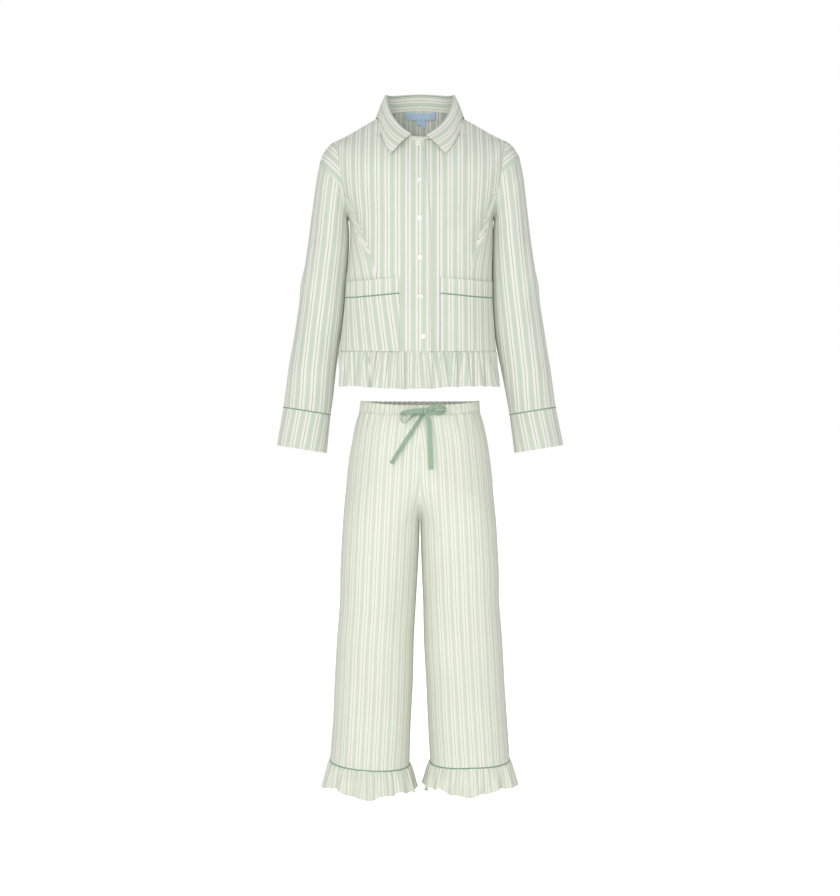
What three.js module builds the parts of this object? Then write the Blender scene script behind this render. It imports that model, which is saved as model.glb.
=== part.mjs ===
// Pyjama set, a long-sleeved shirt over trousers, in the form of a wearer with nobody inside.
// Millimetres, +Z up, front toward -Y, origin at the middle of the neck base between the shoulder seams.
// Every piece of cloth is one closed wall worked out from sizes, with a hairline between pieces at a seam.
import * as THREE from "three";

const WALL = 2;
const SEAM = 0.4;
const CLEAR = 0.9;
const LAP = WALL + 0.6;
const SQUARE = 0.87;
const LEFT = -1;
const RIGHT = 1;
const FRONT = -1;
const BACK = 1;

// Shirt sizes
const TIP = { left: -192, right: 195, z: -55 };
const UNDERARM = { left: -163, right: 168, z: -234 };
const ARMHOLE_DEPTH = 57;
const NECK = { half: 74, y: -4, front: 72, back: 68, low: -70, side: 8, high: 31 };
const SHOULDER_SHARE = 0.3;
const SHIRT_SEAM = { side: -537, front: -547, back: -541 };
const RUFFLE = { drop: 82, backRise: 13, flare: 12, left: -3, right: 5, wave: 8, waves: 12, perWave: 5 };
const BODY_ROWS = 16;
const SLEEVE_POINTS = 18;
const CUFF = { long: 88, grow: 1.06 };
const PIPING = 1.25;
const ROLL = 3.3;
const LEAF_START = 0.21;
const POCKET = { top: -382, seam: -418, inner: 45, turn: 11 };
const BUTTON = { radius: 6.2, thick: 2.2 };

// Trouser sizes
const WAIST = { topSide: -652, topFront: -665, topBack: -650, lowSide: -677, lowFront: -688, lowBack: -680 };
const GATHERS = { count: 60, deep: 1.1 };
const FORK = { start: -770, end: -932 };
const HEM = { z: -1480, drop: 60, wave: 8, waves: 14, perWave: 5 };
const TAPE = { wide: 10.5, thick: 1.2 };

// Body sections of the shirt, from the armholes down
const BODY = [
  { z: -55, left: 192, right: 195, front: 104, back: 98 },
  { z: -140, left: 178, right: 184, front: 114, back: 106 },
  { z: -234, left: 163, right: 168, front: 120, back: 104 },
  { z: -266, left: 160, right: 167, front: 120, back: 101 },
  { z: -319, left: 163, right: 166, front: 117, back: 98 },
  { z: -376, left: 169, right: 166, front: 115, back: 99 },
  { z: -425, left: 172, right: 166, front: 116, back: 103 },
  { z: -460, left: 175, right: 168, front: 118, back: 107 },
  { z: -516, left: 182, right: 172, front: 120, back: 111 },
  { z: -547, left: 186, right: 175, front: 121, back: 113 },
  { z: -640, left: 197, right: 184, front: 124, back: 117 },
];

// Soft folds of the shirt fronts and back: each runs from one point to another as seen from the front
const SHIRT_FOLDS = [
  { face: FRONT, x0: -150, z0: -215, x1: -88, z1: -330, wide: 17, lift: 5 },
  { face: FRONT, x0: -128, z0: -200, x1: -60, z1: -262, wide: 13, lift: -3.5 },
  { face: FRONT, x0: 150, z0: -220, x1: 86, z1: -318, wide: 17, lift: 5 },
  { face: FRONT, x0: 126, z0: -205, x1: 62, z1: -262, wide: 13, lift: -3.5 },
  { face: FRONT, x0: -118, z0: -60, x1: -104, z1: -180, wide: 15, lift: -3 },
  { face: FRONT, x0: 116, z0: -62, x1: 104, z1: -176, wide: 15, lift: -3 },
  { face: BACK, x0: -140, z0: -190, x1: -66, z1: -330, wide: 18, lift: 5 },
  { face: BACK, x0: 138, z0: -196, x1: 70, z1: -318, wide: 18, lift: 5 },
  { face: BACK, x0: -38, z0: -330, x1: -50, z1: -500, wide: 17, lift: 4 },
  { face: BACK, x0: 46, z0: -350, x1: 58, z1: -520, wide: 17, lift: 4 },
];

// Left sleeve rings: the outer and inner points of each ring, and half its depth; ir is where
// the other sleeve's inner point lies, since the body's two sides differ
const SLEEVE = [
  { ox: -192, oz: -55, ix: -163, ir: 168, iz: -234, deep: 57 },
  { ox: -204, oz: -62, ix: -165.2, ir: 169.8, iz: -238, deep: 59 },
  { ox: -217, oz: -77, ix: -165, ir: 169.6, iz: -243, deep: 61 },
  { ox: -228, oz: -98, ix: -164.5, ir: 169.3, iz: -249, deep: 62 },
  { ox: -235, oz: -132, ix: -164, ir: 169, iz: -258, deep: 62 },
  { ox: -242, oz: -176, ix: -163.8, ir: 168.8, iz: -273, deep: 61 },
  { ox: -249, oz: -228, ix: -165.3, ir: 168.5, iz: -298, deep: 60 },
  { ox: -256, oz: -284, ix: -168, ir: 168.3, iz: -334, deep: 59 },
  { ox: -264, oz: -338, ix: -172, ir: 168.5, iz: -374, deep: 58 },
  { ox: -271, oz: -388, ix: -175, ir: 168.8, iz: -416, deep: 57 },
  { ox: -278, oz: -434, ix: -178.3, ir: 170.8, iz: -458, deep: 56 },
  { ox: -286, oz: -482, ix: -183.5, ir: 174.5, iz: -502, deep: 54 },
  { ox: -294, oz: -530, ix: -189, ir: 180, iz: -548, deep: 51 },
  { ox: -302, oz: -578, ix: -195, ir: 189.5, iz: -596, deep: 48 },
  { ox: -308, oz: -624, ix: -200, ir: 198.5, iz: -642, deep: 44 },
  { ox: -314, oz: -667, ix: -206, ir: 206, iz: -684, deep: 41 },
];

// Creases across the sleeves: the ring they cross, where round the sleeve, and how deep
const SLEEVE_CREASES = [
  { ring: 3.2, turn: 35, span: 26, width: 0.55, lift: -4 },
  { ring: 4.4, turn: 55, span: 30, width: 0.6, lift: 4 },
  { ring: 9.0, turn: 20, span: 34, width: 0.6, lift: 4 },
  { ring: 10.2, turn: 62, span: 30, width: 0.55, lift: -3 },
  { ring: 13.0, turn: 70, span: 34, width: 0.6, lift: 3 },
];

// The collar, from its front end round to the middle of the back: the neck ring's turn in degrees,
// the stand's height above the ring, and how far out the leaf's edge lies
const COLLAR = [
  { turn: 15, stand: 12, x: 67 },
  { turn: 37, stand: 19, x: 79 },
  { turn: 60, stand: 27, x: 89 },
  { turn: 76, stand: 36, x: 97 },
  { turn: 90, stand: 43, x: 102 },
  { turn: 106, stand: 43, x: 100 },
  { turn: 124, stand: 41, x: 86 },
  { turn: 144, stand: 40, x: 60 },
  { turn: 162, stand: 40, x: 31 },
  { turn: 180, stand: 40, x: 0 },
];

// The leaf's edge on the chest by its height, and over the shoulders and back by its depth
const LEAF_ON_CHEST = [
  { turn: 15, z: -109 },
  { turn: 37, z: -82 },
  { turn: 60, z: -52 },
];
const LEAF_BEHIND = [
  { turn: 76, y: -28 },
  { turn: 90, y: -4 },
  { turn: 106, y: 18 },
  { turn: 124, y: 43 },
  { turn: 144, y: 60 },
  { turn: 162, y: 70 },
  { turn: 180, y: 74 },
];

// Trouser sections: outer and inner edges of both legs as seen from the front, and the depths
const TROUSER = [
  { z: -677, outL: 139, inL: 0.3, inR: 0.3, outR: 137, front: 97, back: 98 },
  { z: -696, outL: 145, inL: 0.3, inR: 0.3, outR: 143, front: 100, back: 103 },
  { z: -719, outL: 151, inL: 0.3, inR: 0.3, outR: 149, front: 103, back: 107 },
  { z: -742, outL: 155, inL: 0.3, inR: 0.3, outR: 154, front: 105, back: 110 },
  { z: -788, outL: 163, inL: 0.3, inR: 0.3, outR: 161, front: 107, back: 115 },
  { z: -834, outL: 168, inL: 0.3, inR: 0.3, outR: 166, front: 108, back: 117 },
  { z: -880, outL: 173, inL: 0.3, inR: 0.3, outR: 170, front: 108, back: 117 },
  { z: -930, outL: 177, inL: 0.6, inR: 0.6, outR: 175, front: 107, back: 114 },
  { z: -980, outL: 180, inL: 2, inR: 2, outR: 178, front: 105, back: 110 },
  { z: -1040, outL: 183, inL: 5, inR: 4, outR: 181, front: 102, back: 105 },
  { z: -1110, outL: 184, inL: 9, inR: 7, outR: 182, front: 99, back: 101 },
  { z: -1202, outL: 191, inL: 14, inR: 9, outR: 189, front: 97, back: 98 },
  { z: -1294, outL: 196, inL: 16, inR: 14, outR: 194, front: 96, back: 97 },
  { z: -1386, outL: 200, inL: 21, inR: 18, outR: 200, front: 95, back: 96 },
  { z: -1480, outL: 207, inL: 24, inR: 23, outR: 206, front: 95, back: 95 },
];
const TROUSER_LEVELS = [
  -677, -705, -742, -780, -815, -848, -876, -900, -918, -932,
  -955, -990, -1050, -1120, -1200, -1280, -1360, -1425, -1480,
];

// Soft folds of the trousers, as seen from the front
const TROUSER_FOLDS = [
  { face: FRONT, x0: 39, z0: -712, x1: 40, z1: -838, wide: 13, lift: -4 },
  { face: FRONT, x0: -45, z0: -700, x1: -43, z1: -802, wide: 12, lift: -4 },
  { face: FRONT, x0: -92, z0: -705, x1: -104, z1: -900, wide: 15, lift: 4 },
  { face: FRONT, x0: 90, z0: -705, x1: 108, z1: -880, wide: 15, lift: 4 },
  { face: FRONT, x0: -70, z0: -1080, x1: -84, z1: -1330, wide: 16, lift: 4 },
  { face: FRONT, x0: 72, z0: -1100, x1: 92, z1: -1350, wide: 16, lift: 4 },
  { face: BACK, x0: -60, z0: -712, x1: -72, z1: -850, wide: 15, lift: 4 },
  { face: BACK, x0: 58, z0: -712, x1: 66, z1: -840, wide: 15, lift: 4 },
  { face: BACK, x0: -96, z0: -1040, x1: -104, z1: -1330, wide: 17, lift: 5 },
  { face: BACK, x0: 92, z0: -1060, x1: 104, z1: -1320, wide: 17, lift: 5 },
];

// The bow, as seen from the front: routes of its loops and tails from the knot out
const BOW_LOOPS = {
  bow_loop_right: [
    { x: 18, z: -676 }, { x: 28, z: -668 }, { x: 42, z: -664.5 }, { x: 54, z: -667 },
    { x: 58, z: -674 }, { x: 53, z: -682 }, { x: 40, z: -686 }, { x: 28, z: -683 }, { x: 18, z: -679.5 },
  ],
  bow_loop_left: [
    { x: 6.5, z: -676 }, { x: -6, z: -672 }, { x: -22, z: -674 }, { x: -36, z: -680 },
    { x: -44, z: -690 }, { x: -41, z: -702 }, { x: -31, z: -702 }, { x: -18, z: -693 }, { x: 6.5, z: -680.5 },
  ],
};
const BOW_TAILS = {
  bow_tail_left: [
    { x: 8, z: -684.1, out: 3.5 }, { x: -4, z: -702, out: 5 }, { x: -22, z: -730, out: 5 },
    { x: -42, z: -760, out: 5 }, { x: -57, z: -784, out: 5 }, { x: -63.5, z: -795, out: 5 },
  ],
  bow_tail_right: [
    { x: 16, z: -684.1, out: 3.5 }, { x: 20, z: -708, out: 5 }, { x: 22, z: -734, out: 5 },
    { x: 23, z: -760, out: 5 }, { x: 24.5, z: -808, out: 5 },
  ],
};

// Colours
const CLOTH = { color: "#dbe0d3", roughness: 0.9 };
const TRIM = { color: "#7da58c", roughness: 0.85 };
const TAPE_CLOTH = { color: "#a5c8ac", roughness: 0.8 };
const LABEL = { color: "#b4cde8", roughness: 0.7 };
const SHELL = { color: "#f5f5f0", roughness: 0.3 };

const part = new THREE.Group();

function add(name, geometry, look) {
  const material = new THREE.MeshStandardMaterial({ metalness: 0, ...look });
  const mesh = new THREE.Mesh(geometry, material);
  mesh.name = name;
  part.add(mesh);
}

// Small sums
const clamp = (t) => Math.min(1, Math.max(0, t));
const mix = (a, b, t) => a + (b - a) * t;
const radians = (degrees) => (degrees * Math.PI) / 180;
const range = (count) => Array.from({ length: count }, (_, i) => i);
const minus = (a, b) => a.map((v, i) => v - b[i]);
const plus = (a, b, k = 1) => a.map((v, i) => v + b[i] * k);
const dot = (a, b) => a[0] * b[0] + a[1] * b[1] + a[2] * b[2];
const cross = (a, b) => [a[1] * b[2] - a[2] * b[1], a[2] * b[0] - a[0] * b[2], a[0] * b[1] - a[1] * b[0]];

function smooth(t) {
  const c = clamp(t);
  return c * c * (3 - 2 * c);
}

function unit(a) {
  const length = Math.hypot(...a) || 1;
  return a.map((v) => v / length);
}

function without(a, direction) {
  return unit(plus(a, direction, -dot(a, direction)));
}

// The value of one column of a table at a place along another, through a smooth curve
function lookup(rows, by, at, column) {
  const rising = rows[rows.length - 1][by] > rows[0][by] ? 1 : -1;
  let i = 0;
  while (i < rows.length - 2 && (at - rows[i + 1][by]) * rising > 0) i += 1;
  const [a, b] = [rows[i], rows[i + 1]];
  const before = rows[Math.max(i - 1, 0)];
  const after = rows[Math.min(i + 2, rows.length - 1)];
  const span = b[by] - a[by];
  const t = clamp((at - a[by]) / span);
  const slopeA = ((b[column] - before[column]) / (b[by] - before[by])) * span;
  const slopeB = ((after[column] - a[column]) / (after[by] - a[by])) * span;
  const [t2, t3] = [t * t, t * t * t];
  const start = (2 * t3 - 3 * t2 + 1) * a[column] + (t3 - 2 * t2 + t) * slopeA;
  return start + (3 * t2 - 2 * t3) * b[column] + (t3 - t2) * slopeB;
}

// How far soft folds push a face out at a point seen from the front
function folds(table, face, x, z) {
  let push = 0;
  for (const fold of table) {
    if (fold.face !== face) continue;
    const along = [fold.x1 - fold.x0, fold.z1 - fold.z0];
    const length = Math.hypot(...along);
    const t = ((x - fold.x0) * along[0] + (z - fold.z0) * along[1]) / (length * length);
    const off = ((x - fold.x0) * along[1] - (z - fold.z0) * along[0]) / length;
    const ends = smooth((t + 0.15) / 0.4) * smooth((1.15 - t) / 0.4);
    push += fold.lift * ends * Math.exp(-((off / fold.wide) ** 2));
  }
  return push;
}

// Normals of a grid of points, pointing away from a middle point
function normalsOf(grid, round, from) {
  const rows = grid.length;
  const cols = grid[0].length;
  const before = (c) => (round ? (c + cols - 1) % cols : Math.max(c - 1, 0));
  const after = (c) => (round ? (c + 1) % cols : Math.min(c + 1, cols - 1));
  let sum = 0;
  const normals = grid.map((row, r) =>
    row.map((point, c) => {
      const across = minus(row[after(c)], row[before(c)]);
      const down = minus(grid[Math.min(r + 1, rows - 1)][c], grid[Math.max(r - 1, 0)][c]);
      const normal = unit(cross(across, down));
      sum += dot(normal, minus(point, from));
      return normal;
    }),
  );
  return sum < 0 ? normals.map((row) => row.map((n) => n.map((v) => -v))) : normals;
}

function middleOf(grid) {
  const all = grid.flat();
  return all.reduce((sum, p) => plus(sum, p, 1 / all.length), [0, 0, 0]);
}

// A closed wall of cloth under a grid of points on its outer face
function wall(grid, { thick = WALL, round = false, from = middleOf(grid), trim = null } = {}) {
  const rows = grid.length;
  const cols = grid[0].length;
  const normals = normalsOf(grid, round, from).map((row, r) => row.map((n, c) => (trim ? trim(n, r, c) : n)));
  const inner = grid.map((row, r) => row.map((point, c) => plus(point, normals[r][c], -thick)));
  const corner = (layer, r, c) => (layer * rows + r) * cols + (c % cols);
  const faces = [];
  const quad = (a, b, c, d) => faces.push(a, b, c, a, c, d);
  const last = round ? cols : cols - 1;
  for (let r = 0; r < rows - 1; r += 1) {
    for (let c = 0; c < last; c += 1) {
      quad(corner(0, r, c), corner(0, r + 1, c), corner(0, r + 1, c + 1), corner(0, r, c + 1));
      quad(corner(1, r, c), corner(1, r, c + 1), corner(1, r + 1, c + 1), corner(1, r + 1, c));
    }
    if (round) continue;
    quad(corner(0, r, 0), corner(1, r, 0), corner(1, r + 1, 0), corner(0, r + 1, 0));
    quad(corner(0, r, cols - 1), corner(0, r + 1, cols - 1), corner(1, r + 1, cols - 1), corner(1, r, cols - 1));
  }
  for (let c = 0; c < last; c += 1) {
    quad(corner(0, 0, c), corner(0, 0, c + 1), corner(1, 0, c + 1), corner(1, 0, c));
    quad(corner(0, rows - 1, c), corner(1, rows - 1, c), corner(1, rows - 1, c + 1), corner(0, rows - 1, c + 1));
  }
  return closed([...grid.flat(), ...inner.flat()], faces);
}

// A geometry from points and faces, turned so that its faces look outward
function closed(points, faces) {
  let volume = 0;
  for (let i = 0; i < faces.length; i += 3) {
    const [a, b, c] = [points[faces[i]], points[faces[i + 1]], points[faces[i + 2]]];
    volume += dot(a, cross(b, c));
  }
  const geometry = new THREE.BufferGeometry();
  geometry.setAttribute("position", new THREE.Float32BufferAttribute(points.flat(), 3));
  geometry.setIndex(volume < 0 ? [...faces].reverse() : faces);
  geometry.computeVertexNormals();
  return geometry;
}

// A bar swept along points: corners(i, tangent) gives the section's points at each one
function sweep(points, corners, round = false) {
  const count = points.length;
  const rings = points.map((point, i) => {
    const ahead = points[round ? (i + 1) % count : Math.min(i + 1, count - 1)];
    const behind = points[round ? (i + count - 1) % count : Math.max(i - 1, 0)];
    return corners(point, unit(minus(ahead, behind)), i);
  });
  const sides = rings[0].length;
  const faces = [];
  const last = round ? count : count - 1;
  for (let i = 0; i < last; i += 1) {
    for (let s = 0; s < sides; s += 1) {
      const [a, b] = [i * sides + s, i * sides + ((s + 1) % sides)];
      const [c, d] = [((i + 1) % count) * sides + ((s + 1) % sides), ((i + 1) % count) * sides + s];
      faces.push(a, b, c, a, c, d);
    }
  }
  if (!round) {
    for (let s = 1; s < sides - 1; s += 1) {
      faces.push(0, s + 1, s);
      const end = (count - 1) * sides;
      faces.push(end, end + s, end + s + 1);
    }
  }
  return closed(rings.flat(), faces);
}

// Piping: a cord of cloth with six sides
function piping(points, round) {
  const up = [0, 0, 1];
  return sweep(points, (point, tangent) => {
    const side = unit(cross(tangent, up));
    const rise = cross(side, tangent);
    return range(6).map((s) => {
      const turn = (s * Math.PI) / 3;
      return plus(plus(point, side, PIPING * Math.cos(turn)), rise, PIPING * Math.sin(turn));
    });
  }, round);
}

// A flat tape: across(i) is the direction of its width at each point
function tape(points, across) {
  return sweep(points, (point, tangent, i) => {
    const wide = without(across(i), tangent);
    const thick = cross(tangent, wide);
    const corner = (a, b) => plus(plus(point, wide, (a * TAPE.wide) / 2), thick, (b * TAPE.thick) / 2);
    return [corner(-1, -1), corner(1, -1), corner(1, 1), corner(-1, 1)];
  });
}

// The armhole is a flat oval from the shoulder tip to the underarm; this is the way out of its plane
function armholeOut(side) {
  const key = side === LEFT ? "left" : "right";
  const lean = Math.abs(UNDERARM[key] - TIP[key]);
  return unit([side * (TIP.z - UNDERARM.z), 0, -lean]);
}

// Where the armhole cuts the body at a height: how far out, and how deep
function armholeAt(side, z) {
  const key = side === LEFT ? "left" : "right";
  const t = clamp((z - UNDERARM.z) / (TIP.z - UNDERARM.z));
  const height = 2 * t - 1;
  const x = mix(UNDERARM[key], TIP[key], t);
  return { x: Math.abs(x), deep: ARMHOLE_DEPTH * Math.sqrt(Math.max(0, 1 - height * height)) };
}

// Body section of the shirt: the angle where the panel starts at one side, and its half width
function sideOf(face, side, z) {
  const depth = lookup(BODY, "z", Math.min(z, TIP.z), face === FRONT ? "front" : "back");
  if (z <= UNDERARM.z) {
    return { start: 0, half: lookup(BODY, "z", z, side === LEFT ? "left" : "right"), depth };
  }
  const hole = armholeAt(side, z);
  const start = Math.asin((hole.deep / depth) ** (1 / SQUARE));
  return { start, half: hole.x / Math.cos(start) ** SQUARE, depth };
}

function bodySection(face, across, z) {
  const left = sideOf(face, LEFT, z);
  const right = sideOf(face, RIGHT, z);
  const turn = mix(left.start, Math.PI - right.start, across);
  const cosine = Math.cos(turn);
  const half = cosine > 0 ? left.half : right.half;
  const x = -half * Math.sign(cosine) * Math.abs(cosine) ** SQUARE;
  return [x, face * left.depth * Math.max(0, Math.sin(turn)) ** SQUARE];
}

// The neck ring, by its turn in degrees from the middle front: negative to the left
function neckRing(turn) {
  const angle = radians(turn);
  const ahead = Math.cos(angle);
  const depth = ahead > 0 ? NECK.front : NECK.back;
  const level = ahead > 0 ? NECK.low : NECK.high;
  const bend = ahead > 0 ? 1.3 : 1.4;
  return [
    NECK.half * Math.sin(angle),
    NECK.y - depth * ahead,
    mix(NECK.side, level, Math.abs(ahead) ** bend),
  ];
}

// Top line of the front or back: along one shoulder seam, round the neck, along the other
function topLine(face, across) {
  const near = Math.min(across, 1 - across);
  const side = across < 0.5 ? LEFT : RIGHT;
  if (near < SHOULDER_SHARE) {
    const t = near / SHOULDER_SHARE;
    const tip = side === LEFT ? TIP.left : TIP.right;
    const sag = 4 * Math.sin(Math.PI * t);
    return [mix(tip, side * NECK.half, t), mix(0, NECK.y, t), mix(TIP.z, NECK.side, t) - sag];
  }
  const t = (near - SHOULDER_SHARE) / (0.5 - SHOULDER_SHARE);
  const turn = face === FRONT ? 90 * (1 - t) : 90 + 90 * t;
  return neckRing(side * turn);
}

// A point on the outer face of the shirt body, across from left to right
function body(face, across, z) {
  const top = topLine(face, across);
  const here = bodySection(face, across, z);
  const atTop = bodySection(face, across, top[2]);
  const near = Math.min(across, 1 - across);
  const reach = 15 + 125 * smooth(near / 0.13);
  const t = clamp((top[2] - z) / reach);
  const roundShoulder = Math.sqrt(1 - (1 - t) * (1 - t));
  const softNeck = Math.sin((t * Math.PI) / 2);
  const settled = mix(roundShoulder, softNeck, smooth((near - 0.1) / 0.36));
  const x = here[0] + (top[0] - atTop[0]) * (1 - settled);
  const y = here[1] + (top[1] - atTop[1]) * (1 - settled);
  const calm = smooth(near / 0.12) * settled;
  return [x, y + face * folds(SHIRT_FOLDS, face, x, z) * calm, z];
}

// Height of the waist seam, where the ruffle is sewn on
function seamAt(face, across) {
  const middle = face === FRONT ? SHIRT_SEAM.front : SHIRT_SEAM.back;
  return mix(SHIRT_SEAM.side, middle, Math.sin(Math.PI * across));
}

// The two edges of the front opening, as shares of the way across
const LAP_EDGE = (z) => mix(0.52, 0.533, smooth((-70 - z) / 240));
const UNDER_EDGE = (z) => mix(0.486, 0.49, smooth((-70 - z) / 240));
const setIn = (across) => LAP * smooth((0.582 - across) / 0.036);

// Rows of a body panel: even below the underarm, closer together toward both ends above it
function panelHeight(face, across, row, rows) {
  const low = Math.round(rows * 0.44);
  const seam = seamAt(face, across) + SEAM / 2;
  const top = topLine(face, across)[2];
  if (row <= low) return mix(seam, UNDERARM.z, row / low);
  const t = (row - low) / (rows - low);
  return mix(UNDERARM.z, top, (1 - Math.cos(Math.PI * t)) / 2);
}

// Even steps through a list of stops, with so many steps in each stretch
function steps(stops, counts) {
  const inside = counts.flatMap((count, i) => range(count).map((k) => mix(stops[i], stops[i + 1], k / count)));
  return [...inside, stops[stops.length - 1]];
}

// Columns of the panels across the top line, with one at each end of a shoulder seam
const BACK_COLUMNS = steps([0, SHOULDER_SHARE, 1 - SHOULDER_SHARE, 1], [5, 10, 5]);
const RIGHT_COLUMNS = steps([0, SHOULDER_SHARE, LAP_EDGE(0)], [6, 5]);
const LEFT_COLUMNS = steps([UNDER_EDGE(0), 1 - SHOULDER_SHARE, 1], [5, 6]);

function bodyPanel(face, columns, rows, from, to, inset) {
  const low = Math.round(rows * 0.44);
  const grid = range(rows + 1).map((row) =>
    columns.map((top) => {
      const share = (top - from(0)) / (to(0) - from(0));
      const z = panelHeight(face, top, row, rows);
      const across = mix(from(z), to(z), share);
      return { across, point: body(face, across, z) };
    }),
  );
  const points = grid.map((row) => row.map((cell) => cell.point));
  const normals = normalsOf(points, false, [0, 0, -300]);
  const trim = (normal, r, c) => {
    const { across } = grid[r][c];
    const near = Math.min(across, 1 - across);
    let n = normal;
    if (near < 1e-6 && r <= low) n = without(n, [0, 1, 0]);
    if (near < 1e-6 && r >= low) n = without(n, armholeOut(across < 0.5 ? LEFT : RIGHT));
    if (r === rows && near < SHOULDER_SHARE + 0.001) n = without(n, [0, 1, 0]);
    if (r === rows && near < 1e-6) n = without(n, armholeOut(across < 0.5 ? LEFT : RIGHT));
    if (r === 0) n = without(n, [0, 0, 1]);
    return n;
  };
  const placed = points.map((row, r) =>
    row.map((point, c) => {
      const { across } = grid[r][c];
      const near = Math.min(across, 1 - across);
      const seamed = near < 1e-6 || (r === rows && near < SHOULDER_SHARE + 0.001);
      const moved = plus(point, trim(normals[r][c], r, c), -inset(across));
      return seamed ? plus(moved, [0, face * (SEAM / 2), 0]) : moved;
    }),
  );
  return wall(placed, { from: [0, 0, -300], trim });
}

function shirtBody() {
  const none = () => 0;
  const start = () => 0;
  const end = () => 1;
  add("shirt_back", bodyPanel(BACK, BACK_COLUMNS, BODY_ROWS, start, end, none), CLOTH);
  add("shirt_front_right", bodyPanel(FRONT, RIGHT_COLUMNS, BODY_ROWS, start, LAP_EDGE, none), CLOTH);
  add("shirt_front_left", bodyPanel(FRONT, LEFT_COLUMNS, BODY_ROWS, UNDER_EDGE, end, setIn), CLOTH);
}

// The share across the front or back at which the body has a given x
function acrossAt(face, x, z) {
  let [low, high] = [0, 1];
  for (let i = 0; i < 30; i += 1) {
    const middle = (low + high) / 2;
    if (body(face, middle, z)[0] < x) low = middle;
    else high = middle;
  }
  return (low + high) / 2;
}

// A point off the body: out along the normal from the share across and the height
function offBody(face, across, z, out) {
  const step = 0.004;
  const point = body(face, across, z);
  const sideways = minus(body(face, across + step, z), body(face, across - step, z));
  const down = minus(body(face, across, z - 1), body(face, across, z + 1));
  const normal = unit(cross(sideways, down));
  const outward = normal[1] * face < 0 ? -1 : 1;
  return plus(point, normal, out * outward);
}

// Where the body lies at a given x and y: its height, for the collar leaf over the shoulders
function heightAt(x, y) {
  const face = y < NECK.y ? FRONT : BACK;
  let [low, high] = [-230, 30];
  for (let i = 0; i < 30; i += 1) {
    const middle = (low + high) / 2;
    const across = acrossAt(face, x, middle);
    const top = topLine(face, across)[2];
    const deep = middle < top ? body(face, across, middle)[1] : face * -1000;
    if ((deep - y) * face > 0) low = middle;
    else high = middle;
  }
  return (low + high) / 2;
}

// The collar's columns: its turn runs from the lapping end back round the neck to the end beneath,
// and each panel column at the neck is one of them, so that the seam has the same corners
function neckTurns() {
  const halfNeck = 0.5 - SHOULDER_SHARE;
  const frontTurn = (across) => ((across - 0.5) / halfNeck) * 90;
  const onNeck = (across) => across > SHOULDER_SHARE - 1e-6 && across < 1 - SHOULDER_SHARE + 1e-6;
  const right = RIGHT_COLUMNS.filter(onNeck).map(frontTurn).reverse();
  const back = BACK_COLUMNS.filter(onNeck).map((across) => frontTurn(across) * -1 - 180);
  const left = LEFT_COLUMNS.filter(onNeck).map((across) => frontTurn(across) - 360).reverse();
  const all = [...right, ...back.filter((t) => t < -90.5 && t > -269.5).sort((a, b) => b - a), ...left];
  return all.flatMap((turn, i) => {
    const next = all[i + 1];
    if (next === undefined) return [{ turn, chord: [turn, turn, 0] }];
    const shares = i === 1 ? [0, LEAF_START, 0.5] : [0, 0.5];
    return shares.map((share) => ({ turn: mix(turn, next, share), chord: [turn, next, share] }));
  });
}

const aroundNeck = (turn) => ((turn + 900) % 360) - 180;
const underAt = (turn) => LAP * smooth((-turn - 325) / 24);

// The roll line of the collar at a turn, with the ways up and out square to it
function rollPoint(turn) {
  const ring = neckRing(aroundNeck(turn));
  const outward = unit([ring[0], ring[1] - NECK.y, 0]);
  const round = Math.max(Math.abs(aroundNeck(turn)), COLLAR[0].turn);
  return plus([ring[0], ring[1], ring[2] + lookup(COLLAR, "turn", round, "stand")], outward, -underAt(turn));
}

function collarAt(turn) {
  const wrapped = aroundNeck(turn);
  const ring = neckRing(wrapped);
  const tangent = unit(minus(rollPoint(turn + 2), rollPoint(turn - 2)));
  const up = without([0, 0, 1], tangent);
  const flat = unit([ring[0], ring[1] - NECK.y, 0]);
  const outward = without(without(flat, tangent), up);
  const side = wrapped < 0 ? LEFT : RIGHT;
  const round = Math.max(Math.abs(wrapped), COLLAR[0].turn);
  return { side, round, roll: rollPoint(turn), up, outward, flat };
}

// Collar stand: a band from the neck ring up, its right end under its left end
function collarStand() {
  const columns = neckTurns();
  const grid = range(3).map((row) =>
    columns.map(({ turn, chord }, column) => {
      const { roll, up, outward, flat } = collarAt(turn);
      const [from, to, share] = chord;
      const [start, end] = [neckRing(aroundNeck(from)), neckRing(aroundNeck(to))];
      const foot = plus(plus(plus(start, minus(end, start), share), [0, 0, SEAM]), flat, -underAt(turn));
      const top = plus(plus(roll, up, -ROLL - 1), outward, WALL);
      return plus(foot, minus(top, foot), (row / 2) * (column === 0 ? 0.55 : 1));
    }),
  );
  add("collar_stand", wall(grid, { from: [0, 0, 20] }), CLOTH);
}

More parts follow.
